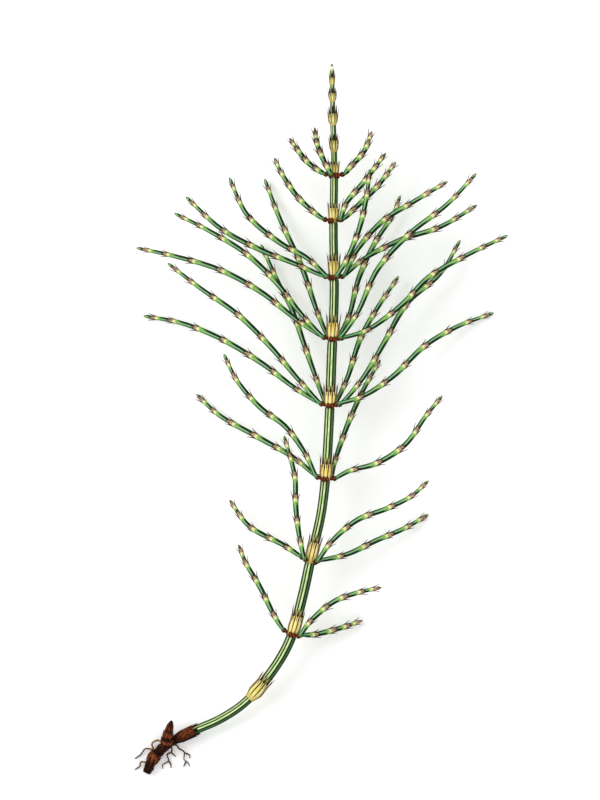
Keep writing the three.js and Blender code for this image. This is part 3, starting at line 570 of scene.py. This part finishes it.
# Tips of the teeth on the green stem: how far out from the stem the close ones lie, how far out from the rim
# the spread ones, and the share that strays outwards
TIPS = {"close": 0.25, "wide": 0.3, "stray": 0.15}
BARE_GREEN = 0.5  # how green the sheaths without branches are
# Teeth that stand out from the stem, by their number round it from the top towards the right, and their
# length against a common one: those at the two sides, and those of two sheaths that differ
SIDE_TEETH = {2: 1.15, 8: 1.15}
TALL_TEETH = {"whorl_8": {8: 1.35}, "lowest": {2: 1.2, 8: 1.15}}
# Knobs of branches that never grew: half length along the stem, radius, how far the middle lies above the
# sheath's foot and outside it, and the least turn from a branch that did grow, in degrees
BARE_KNOB = {"half": 0.95, "radius": 0.62, "above": 0.4, "out": 0.15, "room": 25}
KNOB_COLUMNS = 20
KNOB_ENDS = 0.2  # angle at which its rounded ends are closed
stem_route = Route(STEM_ROUTE)


def bulge(share, form):
    """Radius of a sheath from its foot to its rim."""
    to_belly = form["foot"] + (form["belly"] - form["foot"]) * smooth(share, 0, BELLY_AT)
    to_rim = form["belly"] + (form["rim"] - form["belly"]) * smooth(share, BELLY_AT, 1)
    return np.where(share < BELLY_AT, to_belly, to_rim)


def by_tooth(angles, teeth):
    """The number of the tooth at each angle, and how far off its middle the angle lies, up to 1 at a gap."""
    place = angles * teeth / (2 * math.pi)
    number = np.round(place).astype(int) % teeth
    return number, np.abs(2 * (np.mod(place + 0.5, 1) - 0.5))


def add_wall(piece, route, distances, angles, outer, inner, marks):
    """A thin wall round a route: along its outer side and back along its inner one."""
    marks = {name: np.broadcast_to(mark, distances.shape) for name, mark in marks.items()}
    both = {name: np.vstack([mark, mark[::-1]]) for name, mark in marks.items()}
    rows = np.vstack([distances, distances[::-1]])
    piece.add(route, rows, angles, np.vstack([outer, inner[::-1]]), loop=True, **both)


def add_sheath(piece, route, start, form, lengths, tips, **tints):
    """A thin collar of fused leaves, each ending in a tooth with a length and a radius at its tip."""
    teeth = len(lengths)
    angles = turns(teeth * TOOTH_COLUMNS)
    number, off = by_tooth(angles, teeth)
    point = np.clip(1 - (TOOTH_SHAPE["narrow"] * off) ** TOOTH_SHAPE["curve"], TOOTH_SHAPE["rim"], 1)
    body = np.linspace(0, 1, BODY_ROWS)[:, None]
    tooth = np.linspace(0, 1, TOOTH_ROWS)[1:, None]
    levels = np.vstack([body, 1 + tooth])
    on_body = np.minimum(levels, 1)
    climb = (levels - on_body) * point
    distances = start + form["body"] * on_body + climb * lengths[number]
    seam = smooth(off, SEAM["start"] - SEAM["closer"] * on_body, 1.0) * smooth(levels, 0.05, 0.35)
    flare = (tips[number] - form["rim"]) * climb ** TOOTH_SHAPE["flare"]
    radii = bulge(on_body, form) * (1 - SEAM["depth"] * seam) + flare
    spine = smooth(levels, 0.6, 1.0) * (1 - smooth(off, 0.06, 0.34)) * SPINE_TINT
    marks = {
        "seam": seam,
        # painted shade, darker towards the foot of the sheath
        "foot": 1 - smooth(on_body, 0.0, 0.45),
        "tooth": np.minimum(smooth(climb, 0.03, 0.3) * TOOTH_TINT + spine, 1),
        # painted shade on the flanks of the sheath's upper side
        "side": smooth(np.abs(np.sin(angles)), 0.6, 0.9) * upper(angles),
        # painted shade along the flanks of the sheath's upper side
        "edge": smooth(np.abs(np.sin(angles)), 0.86, 0.97) * upper(angles),
        **tints,
    }
    inner = radii - SHELL * (1 - TOOTH_SHAPE["thin"] * climb)
    add_wall(piece, route, distances, angles, radii, inner, marks)


def add_bare_knobs(piece, joint, start, bearings):
    """Rounded knobs on the foot of the sheath, below the gaps between its teeth, away from its branches."""
    half, radius = BARE_KNOB["half"], BARE_KNOB["radius"]
    centre, ahead, side, up = (part[0] for part in stem_route.frames(np.array([start + BARE_KNOB["above"]])))
    angles = turns(KNOB_COLUMNS)
    around = np.linspace(KNOB_ENDS, math.pi - KNOB_ENDS, KNOB_COLUMNS)[:, None]
    for turn in turns(RIDGES) + math.pi / RIDGES:
        bearing = 90 - math.degrees(turn)
        if min(abs((taken - bearing + 180) % 360 - 180) for taken in bearings) <= BARE_KNOB["room"]:
            continue
        outward = up * math.cos(turn) + side * math.sin(turn)
        heart = centre + outward * (joint["foot"] + BARE_KNOB["out"])
        axis = Route([heart - ahead * half, heart + ahead * half])
        facing = np.cos(angles - turn) * np.sin(around)
        # painted shade where the knob turns away from the outside and meets the sheath
        cleft = 1 - smooth(facing, 0.2, 0.65)
        piece.add(axis, half * (1 - np.cos(around)), angles, radius * np.sin(around), knob=1.0, cleft=cleft)


def tooth_lengths(rng, form, teeth, tall):
    """Lengths of the teeth: drawn at random, apart from the tall ones."""
    lengths = form["teeth"] * rng.uniform(*TOOTH_LENGTHS, teeth)
    for number, share in tall.items():
        lengths[number] = form["teeth"] * share
    return lengths


def tooth_tips(rng, teeth, close, wide, spread, tall):
    """Radii at the tips of the teeth: most lie close to the stem, and the tall ones and a few more spread."""
    stray = rng.random(teeth) < spread
    stray[list(tall)] = True
    return np.where(stray, wide, close + rng.uniform(0, TIP_STRAY, teeth))


# ---- Main stem ---------------------------------------------------------------------------------------------

STEM_COLUMNS = 8 * RIDGES
STEM_ROW = 0.45  # spacing of the rows of its surface
FURROW_DEPTH = 0.1  # as a share of the radius
CAP = {"pale": 2.0, "brown": 0.7}  # how far below the tip it turns pale, and then brown
LOW_NECK = (1.3, 1.0)  # distance along the stem and radius, hidden in the brown sheath
FOOT_STEP = 0.1  # over which the stem narrows at the foot of a sheath
ABOVE_TEETH = 0.5  # from the tips of the teeth up to where the stem has its full radius
# How far below a top sheath the stem has its own radius, and how much narrower it is at the sheath's mouth
TOP_NECK = {"below": 0.8, "narrower": 0.05}
BUD_SHOULDER = {"below_tip": 0.5, "radius": 0.45}


def stem_profile():
    """Distances along the stem and its radii there: narrow inside each sheath, full above its teeth."""
    places = [(0.0, STEM_FOOT), LOW_NECK, (BROWN_SHEATH["body"], STEM_LOWEST)]
    below = STEM_LOWEST
    for joint in JOINTS.values():
        foot = stem_route.distance_at_y(joint["y"])
        mouth = foot + joint["body"]
        neck = joint["foot"] - SHELL - INNER_GAP
        above = min(joint["stem"], joint["rim"] - SHELL - INNER_GAP)
        places += [(foot - STEM_TAPER, below), (foot - FOOT_STEP, min(below, joint["foot"])), (foot, neck)]
        places += [(mouth, above), (mouth + joint["teeth"] + ABOVE_TEETH, joint["stem"])]
        below = joint["stem"]
    for joint in TOP_JOINTS:
        foot = stem_route.distance_at_y(joint["y"])
        places += [(foot - TOP_NECK["below"], joint["stem"])]
        places += [(foot + joint["body"], joint["stem"] - TOP_NECK["narrower"])]
    places += [(stem_route.length - END_BUD["length"], END_BUD["radius"])]
    places += [(stem_route.length - BUD_SHOULDER["below_tip"], BUD_SHOULDER["radius"])]
    places += [(stem_route.length, END_BUD["point"])]
    return np.array(places).T


def beside_teeth(rows):
    """1 where the teeth of a sheath stand round the stem, falling to 0 at their tips."""
    near = np.zeros_like(rows)
    for joint in JOINTS.values():
        mouth = stem_route.distance_at_y(joint["y"]) + joint["body"]
        fading = 1 - smooth(rows, mouth + 0.5 * joint["teeth"], mouth + joint["teeth"])
        near = np.maximum(near, smooth(rows, mouth - 1, mouth) * fading)
    return near


def build_stem():
    """The main stem with its ridges, and with lines of painted highlight and painted shade along it by their
    turn in degrees.
    """
    piece = Piece()
    along, radii = stem_profile()
    rows = np.linspace(0, stem_route.length, int(stem_route.length / STEM_ROW))[:, None]
    angles = turns(STEM_COLUMNS)
    ridge = 0.5 + 0.5 * np.cos(RIDGES * angles)
    radius = np.interp(rows, along, radii) * (1 - FURROW_DEPTH * (1 - ridge) ** 2)
    turn = across(angles)
    to_tip = stem_route.length - rows
    mouth = beside_teeth(rows)
    piece.add(
        stem_route,
        rows,
        angles,
        radius,
        mouth=mouth,
        # painted shade in the furrows between the ridges
        furrow=(1 - ridge) ** 2 * (1 - 0.7 * mouth),
        # painted highlight along the stem's top ridge, and a thinner one to its left
        bright=band(turn, -2, 8, 20) + 0.6 * band(turn, -33, 3, 12),
        # painted shade right of the top ridge, and a thin line of it to the left
        dusk=band(turn, 28, 6, 16) + 0.5 * band(turn, 55, 8, 16) + 0.5 * band(turn, -18, 2, 8),
        # painted shade on the flanks of the stem's upper side
        side=smooth(np.abs(turn), 38, 52) * upper(angles),
        # painted shade along the flanks of the stem's upper side
        edge=smooth(np.abs(turn), 62, 72) * upper(angles),
        cap=1 - smooth(to_tip, CAP["pale"] - 0.4, CAP["pale"]),
        tip=1 - smooth(to_tip, CAP["brown"] - 0.3, CAP["brown"]),
    )
    piece.build("stem_skin", MATERIALS["stem"], "stem")


def build_sheaths():
    rng = np.random.default_rng(SEEDS["sheaths"])
    for name, joint in JOINTS.items():
        piece = Piece()
        start = stem_route.distance_at_y(joint["y"])
        tall = TALL_TEETH.get(name, SIDE_TEETH)
        lengths = tooth_lengths(rng, joint, RIDGES, tall)
        close = joint["stem"] + TIPS["close"]
        wide = joint["rim"] + TIPS["wide"]
        tips = tooth_tips(rng, RIDGES, close, wide, TIPS["stray"], tall)
        green = 0.0 if name in BRANCHES else BARE_GREEN
        add_sheath(piece, stem_route, start, joint, lengths, tips, green=green)
        if name in BRANCHES:
            add_bare_knobs(piece, joint, start, [bearing for bearing, _ in BRANCHES[name].values()])
        piece.build(f"sheath_{name}_skin", MATERIALS["sheath"], f"sheath_{name}")


TOP_TEETH = 8
TOP_SIDE_TEETH = {2: 1.15, 6: 1.15}
TOP_SLIT = 0.9  # how far the gaps between the teeth run down into the body of a top sheath
TOP_FIT = {"foot": 0.02, "tips": 0.2}  # from the stem out to a top sheath's foot, and to its closest tips


def build_top_sheaths():
    """The small sheaths of the bare top, with the teeth at their two sides curved outwards."""
    rng = np.random.default_rng(SEEDS["top"])
    outward = np.abs(np.sin(turns(TOP_TEETH)))
    angles = turns(TOP_TEETH * TOOTH_COLUMNS)
    # painted shade on the flanks of the upper side of the top sheaths
    side = smooth(np.abs(np.sin(angles)), 0.4, 0.8) * upper(angles)
    for number, joint in enumerate(TOP_JOINTS, 1):
        piece = Piece()
        start = stem_route.distance_at_y(joint["y"])
        form = {
            "foot": joint["stem"] + TOP_FIT["foot"],
            "belly": joint["stem"] + TOP_BELLY * (joint["rim"] - joint["stem"]),
            "rim": joint["rim"],
            "body": joint["body"] - TOP_SLIT,
            "teeth": joint["teeth"] + TOP_SLIT,
        }
        close = TOP_FIT["tips"]
        tips = joint["stem"] + close + (joint["tips"] - joint["stem"] - close) * outward**2
        lengths = tooth_lengths(rng, form, TOP_TEETH, TOP_SIDE_TEETH)
        add_sheath(piece, stem_route, start, form, lengths, tips, green=BARE_GREEN, side=side)
        piece.build(f"top_sheath_{number}", MATERIALS["sheath"])


# ---- Branches ----------------------------------------------------------------------------------------------

BRANCH_COLUMNS = 24
BRANCH_ROW = 0.35  # spacing of the rows of its surface
BRANCH_HOLLOW = 0.2  # how far its four sides fall in, as a share of the radius
KNOB_SUNK = -0.6  # how far a knob reaches inwards, to the sheath that it breaks out from
TIP_CAP = 0.8  # over which its tip darkens
# Swelling at a joint: distances from it, and radii there against the branch's own
SWELL = ((-1.6, 1.0), (-0.3, 1.08), (0.0, 1.1), (0.05, 0.8))
WAIST = {"beyond": 1.2, "radius": 0.92}
# Its little sheaths: the foot and the notches between the teeth are distances from the joint
COLLAR = {"teeth": 4, "rows": 11, "foot": -1.3, "notch": 0.1, "tip": 2.0, "spread": 0.5, "wall": 0.08}
COLLAR_RANGES = {"tip": (0.8, 1.2), "spread": (0.5, 1.3)}  # of its teeth, against the values above


def branch_route(joint, bearing, through):
    foot = stem_route.distance_at_y(joint["y"]) + KNOB_RISE
    centre, ahead, side, up = (part[0] for part in stem_route.frames(np.array([foot])))
    turn = math.radians(bearing)
    outward = side * math.cos(turn) + up * math.sin(turn)
    share = (KNOB_RISE + KNOB_RADII[0]) / (BELLY_AT * joint["body"])
    sheath_radius = joint["foot"] + (joint["belly"] - joint["foot"]) * share
    start = centre + outward * (sheath_radius + KNOB_CLEARANCE)
    elbow = centre + outward * ELBOW["out"] + ahead * ELBOW["up"]
    return Route([start, elbow, *through])


def branch_joints(length):
    count = round(JOINTS_ALWAYS + JOINTS_PER_MM * length)
    stretches = np.ones(count + 1)
    stretches[0] = FIRST_STRETCH
    stretches[-len(LAST_STRETCHES):] = LAST_STRETCHES
    return (np.cumsum(stretches) * length / stretches.sum())[:-1]


def branch_profile(length, joints):
    """Distances along a branch and its radii: a knob, then stretches that widen up to each joint."""
    def thick(distance):
        return np.interp(distance / length, np.linspace(0, 1, len(BRANCH_RADII)), BRANCH_RADII)

    places = [(KNOB_SUNK, KNOB_RADII[0]), *zip(KNOB_ALONG, KNOB_RADII)]
    for joint in joints:
        places += [(joint + step, share * thick(joint)) for step, share in SWELL]
        waist = joint + WAIST["beyond"]
        places += [(waist, WAIST["radius"] * thick(waist))]
    places += [(length - BRANCH_POINT["length"], BRANCH_RADII[-1]), (length, BRANCH_POINT["radius"])]
    return np.array(places).T, thick


def add_collar(piece, route, joint, radius, rng):
    """The little toothed sheath at a joint of a branch: papery teeth with brown outlines that spread."""
    teeth = COLLAR["teeth"]
    angles = turns(BRANCH_COLUMNS)
    number, off = by_tooth(angles, teeth)
    point = np.clip(1 - (1.1 * off) ** 1.5, 0, 1)
    reach = (COLLAR["tip"] * rng.uniform(*COLLAR_RANGES["tip"], teeth))[number] * point + COLLAR["notch"]
    levels = np.linspace(0, 1, COLLAR["rows"])[:, None]
    along = COLLAR["foot"] + (reach - COLLAR["foot"]) * levels
    beyond = np.clip(along / COLLAR["tip"], 0, 1)
    spread = (COLLAR["spread"] * rng.uniform(*COLLAR_RANGES["spread"], teeth))[number]
    outer = radius * (1.02 + 0.14 * smooth(along, -1.0, 0.2)) * (1 - 0.1 * np.sin(2 * angles) ** 2)
    outer = outer + spread * beyond**1.4
    turn = across(angles)
    sides = smooth(np.abs(turn), 44, 66) * smooth(along, -1.0, -0.5) * (0.35 + 0.5 * upper(angles))
    middle = 0.75 * band(turn, 4, 0, 10) * smooth(along, 0.3, 0.8)
    marks = {
        "tooth": np.maximum(1 - smooth(reach - along, 0.1, 0.5), np.maximum(sides, middle)),
        "paper": smooth(along, -0.2, 0.3),
        "cream": smooth(along, -1.1, -0.5) * band(turn, -5, 24, 48),
        "ripe": np.ones_like(along),
    }
    add_wall(piece, route, joint + along, angles, outer, outer - COLLAR["wall"], marks)


def build_branch(node, route, rng):
    joints = branch_joints(route.length)
    (along, radii), thick = branch_profile(route.length, joints)
    piece = Piece()
    even = np.arange(KNOB_SUNK, route.length, BRANCH_ROW)
    rows = np.unique(np.round(np.concatenate([even, along]), 2))[:, None]
    angles = turns(BRANCH_COLUMNS)
    fluted = smooth(rows, KNOB_ALONG[-1], KNOB_ALONG[-1] + 1)
    radius = np.interp(rows, along, radii) * (1 - BRANCH_HOLLOW * np.sin(2 * angles) ** 2 * fluted)
    ends = np.concatenate([[0], joints, [route.length]])
    stretch = np.clip(np.searchsorted(ends, rows, side="right") - 1, 0, len(joints))
    run = (rows - ends[stretch]) / (ends[stretch + 1] - ends[stretch])
    ripe = smooth(run, 0.45, 0.9) * fluted
    turn = across(angles)
    piece.add(
        route,
        rows,
        angles,
        radius,
        ripe=ripe,
        # painted shade right of the branch's top, and a thin line of it to the left
        stripe=(band(turn, 36, 14, 34) + 0.6 * band(turn, -50, 2, 12)) * fluted * (1 - 0.8 * ripe),
        # painted highlight left of the branch's top
        crest=band(turn, -14, 3, 18) * fluted * (1 - 0.5 * ripe),
        # painted shade on the flanks of the branch's upper side
        edge=smooth(np.abs(turn), 44, 64) * upper(angles) * fluted,
        tooth=smooth(rows, route.length - TIP_CAP, route.length),
        knob=1 - smooth(rows, 0.9, 1.5),
        # painted shade on the flanks of the branch's knob
        cleft=smooth(np.abs(turn), 35, 70),
    )
    for joint in joints:
        add_collar(piece, route, joint, thick(joint), rng)
    piece.build(f"{node}_skin", MATERIALS["branch"], node)


def build_branches():
    rng = np.random.default_rng(SEEDS["branches"])
    for whorl, branches in BRANCHES.items():
        for name, (bearing, through) in branches.items():
            route = branch_route(JOINTS[whorl], bearing, through)
            build_branch(f"branch_{whorl}_{name}", route, rng)


# ---- Rhizome -----------------------------------------------------------------------------------------------

RHIZOME_COLUMNS = 96
RHIZOME_ROWS = 90
RHIZOME_SUNK = 0.5  # how far it reaches on into the brown sheath
RHIZOME_LUMPS = ((0.035, 3, 2.1), (0.025, 5, -3.3))  # height, number round it, and turn along it
SWELLING_COLLAR = {"start": 4.6, "foot": 1.75, "belly": 2.0, "rim": 1.95, "body": 1.6, "teeth": 1.4}
BUD_COLUMNS = 64
BUD_ROWS = 50
BUD_SHARES = (0, 0.26, 0.5, 0.75, 0.95, 1)
BUD_RADII = (0.9, 1.4, 1.45, 1.2, 0.6, 0.15)
# A ring of scales: its body, how much narrower it is at its foot and at its tips, and how far back it starts
SCALE = {"body": 1.3, "foot": 0.35, "tips": 0.1, "back": 1.0}
ROOT_COLUMNS = 12
ROOT_ROW = 0.2
ROOT_RADII = (0.36, 0.18)  # at the foot and at the tip of a rootlet
DARK_ROOT_RADII = (0.3, 0.13)
PALE_ROOTS = 2  # the first of the list, at the left, are paler and thicker than the rest
BROWN_TALL = {7: 1.5}  # the tooth of the brown sheath that stands out
BROWN_TIPS = {"close": 0.3, "wide": 0.5, "stray": 0.3}  # as TIPS


def grooves(count, angles):
    """1 in the furrows and 0 on the ridges round a line."""
    return 0.5 - 0.5 * np.cos(count * angles)


def add_rhizome_body(piece, rng):
    route = Route(RHIZOME_ROUTE)
    end = route.length + RHIZOME_SUNK
    rows = np.linspace(0, end, RHIZOME_ROWS)[:, None]
    angles = turns(RHIZOME_COLUMNS)
    along = (*RHIZOME_ALONG, route.length - RHIZOME_TOP["rounding"], end)
    radii = (*RHIZOME_RADII, RHIZOME_TOP["radius"], RHIZOME_TOP["end"])
    groove = grooves(RHIZOME_RIDGES, angles)
    lumps = sum(height * np.sin(count * angles + turn * rows) for height, count, turn in RHIZOME_LUMPS)
    radius = np.interp(rows, along, radii) * (1 - 0.09 * groove**2 + lumps)
    rust = 0.15 + 0.85 * smooth(rows, 3.4, 4.4) * (1 - smooth(rows, 6.4, 7.0))
    # painted shade in the furrows of the rhizome
    piece.add(route, rows, angles, radius, furrow=0.9 * groove**2, rust=rust)
    lengths = tooth_lengths(rng, SWELLING_COLLAR, RHIZOME_RIDGES, {})
    tips = np.full(RHIZOME_RIDGES, SWELLING_COLLAR["rim"])
    add_sheath(piece, route, SWELLING_COLLAR["start"], SWELLING_COLLAR, lengths, tips, rust=1.0)


def add_bud(piece, rng):
    bud = Route(BUD_ROUTE)
    rows = np.linspace(0, bud.length, BUD_ROWS)[:, None]
    angles = turns(BUD_COLUMNS)
    groove = grooves(BUD_SIDES, angles)
    share = rows / bud.length
    radius = np.interp(share, BUD_SHARES, BUD_RADII) * (1 - 0.08 * groove**2)
    dark = np.maximum(smooth(share, 0.8, 1.0), 1 - smooth(share, 0.1, 0.3))
    # painted shade in the furrows of the bud
    piece.add(bud, rows, angles, radius, rust=1.0, furrow=groove**3, tooth=dark)
    for tier in BUD_TIERS:
        start = tier["share"] * bud.length - tier["teeth"] - SCALE["back"]
        wide = tier["radius"]
        form = {**tier, "foot": wide - SCALE["foot"], "belly": wide, "rim": wide, "body": SCALE["body"]}
        lengths = tooth_lengths(rng, form, BUD_SIDES, {})
        tips = np.full(BUD_SIDES, wide - SCALE["tips"])
        add_sheath(piece, bud, start, form, lengths, tips, rust=1.0)


def build_rhizome():
    rng = np.random.default_rng(SEEDS["rhizome"])
    piece = Piece()
    add_rhizome_body(piece, rng)
    add_bud(piece, rng)
    piece.build("rhizome_skin", MATERIALS["rhizome"], "rhizome")


def build_rootlets():
    piece = Piece()
    angles = turns(ROOT_COLUMNS)
    for number, points in enumerate(ROOTS):
        root = Route(points)
        rows = np.linspace(0, root.length, int(root.length / ROOT_ROW))[:, None]
        share = rows / root.length
        pale = number < PALE_ROOTS
        foot, tip = ROOT_RADII if pale else DARK_ROOT_RADII
        radius = (foot + (tip - foot) * share) * (1 + 0.12 * np.sin(7 * rows + 2 * angles))
        # painted shade on the flanks of the rootlet
        edge = smooth(np.abs(np.sin(angles)), 0.6, 0.95)
        dark = smooth(share, 0.3, 0.9) if pale else smooth(share, -0.4, 0.4)
        piece.add(root, rows, angles, radius, edge=edge, tooth=dark)
    piece.build("rootlets", MATERIALS["root"])


def build_brown_sheath():
    rng = np.random.default_rng(SEEDS["brown_sheath"])
    piece = Piece()
    lengths = tooth_lengths(rng, BROWN_SHEATH, BROWN_RIDGES, BROWN_TALL)
    close = STEM_LOWEST + BROWN_TIPS["close"]
    wide = BROWN_SHEATH["rim"] + BROWN_TIPS["wide"]
    tips = tooth_tips(rng, BROWN_RIDGES, close, wide, BROWN_TIPS["stray"], BROWN_TALL)
    # painted shade on the right-hand side of the brown sheath
    right = smooth(np.sin(turns(BROWN_RIDGES * TOOTH_COLUMNS)), 0.0, 0.8)
    add_sheath(piece, stem_route, 0.0, BROWN_SHEATH, lengths, tips, rust=0.7, right=right)
    piece.build("rhizome_sheath_skin", MATERIALS["rhizome"], "rhizome_sheath")


# ---- Floor, light and camera -------------------------------------------------------------------------------

# Lengths here are in metres, apart from the camera's lens and sensor, which are in millimetres
FLOOR_REACH = 3.0
FLOOR_DROP = -0.00005
FLOOR_GLOW = 0.18  # as of a table lit from below, which keeps the shadows pale
FLOOR_COLOUR = (0.93, 0.93, 0.93, 1.0)
FLOOR_ROUGHNESS = 0.9
WHITE = (1.0, 1.0, 1.0, 1.0)
WORLD_STRENGTH = 0.87
KEY = {"watts": 6.5, "size": 0.8, "place": (-0.9, 0.35, 0.9)}
CAMERA = {"lens": 600, "sensor": 36, "aim": (-0.00615, 0.006, 0.012), "view_height": 0.240, "far": 30}


def build_stage():
    mesh = bpy.data.meshes.new("floor")
    signs = [(-1, -1), (1, -1), (1, 1), (-1, 1)]
    mesh.from_pydata([(x * FLOOR_REACH, y * FLOOR_REACH, FLOOR_DROP) for x, y in signs], [], [(0, 1, 2, 3)])
    floor = bpy.data.objects.new("floor", mesh)
    bpy.context.scene.collection.objects.link(floor)
    material = bpy.data.materials.new("pale_floor")
    material.use_nodes = True
    shader = material.node_tree.nodes["Principled BSDF"]
    shader.inputs["Roughness"].default_value = FLOOR_ROUGHNESS
    shader.inputs["Specular IOR Level"].default_value = 0.0
    shader.inputs["Base Color"].default_value = FLOOR_COLOUR
    shader.inputs["Emission Color"].default_value = WHITE
    shader.inputs["Emission Strength"].default_value = FLOOR_GLOW
    mesh.materials.append(material)


def build_lights():
    world = bpy.data.worlds.new("studio")
    world.use_nodes = True
    background = world.node_tree.nodes["Background"]
    background.inputs["Color"].default_value = WHITE
    background.inputs["Strength"].default_value = WORLD_STRENGTH
    bpy.context.scene.world = world
    light = bpy.data.lights.new("key", "AREA")
    light.shape = "DISK"
    light.size = KEY["size"]
    light.energy = KEY["watts"]
    key = bpy.data.objects.new("key", light)
    key.location = KEY["place"]
    x, y, z = -np.array(KEY["place"]) / np.linalg.norm(KEY["place"])
    key.rotation_euler = (math.acos(-z), 0.0, math.atan2(y, x) - math.pi / 2)
    bpy.context.scene.collection.objects.link(key)
    bpy.context.scene.view_settings.view_transform = "Standard"


def build_camera():
    """Looks straight down from far off, so that the plant shows with hardly any perspective."""
    camera = bpy.data.cameras.new("camera")
    camera.lens = CAMERA["lens"]
    camera.sensor_width = CAMERA["sensor"]
    camera.clip_end = CAMERA["far"]
    x, y, z = CAMERA["aim"]
    holder = bpy.data.objects.new("camera", camera)
    holder.location = (x, y, z + CAMERA["view_height"] * CAMERA["lens"] / CAMERA["sensor"])
    bpy.context.scene.collection.objects.link(holder)
    bpy.context.scene.camera = holder


build_camera()
build_lights()
build_stage()
build_stem()
build_sheaths()
build_top_sheaths()
build_branches()
build_rhizome()
build_rootlets()
build_brown_sheath()

bpy.context.view_layer.update()
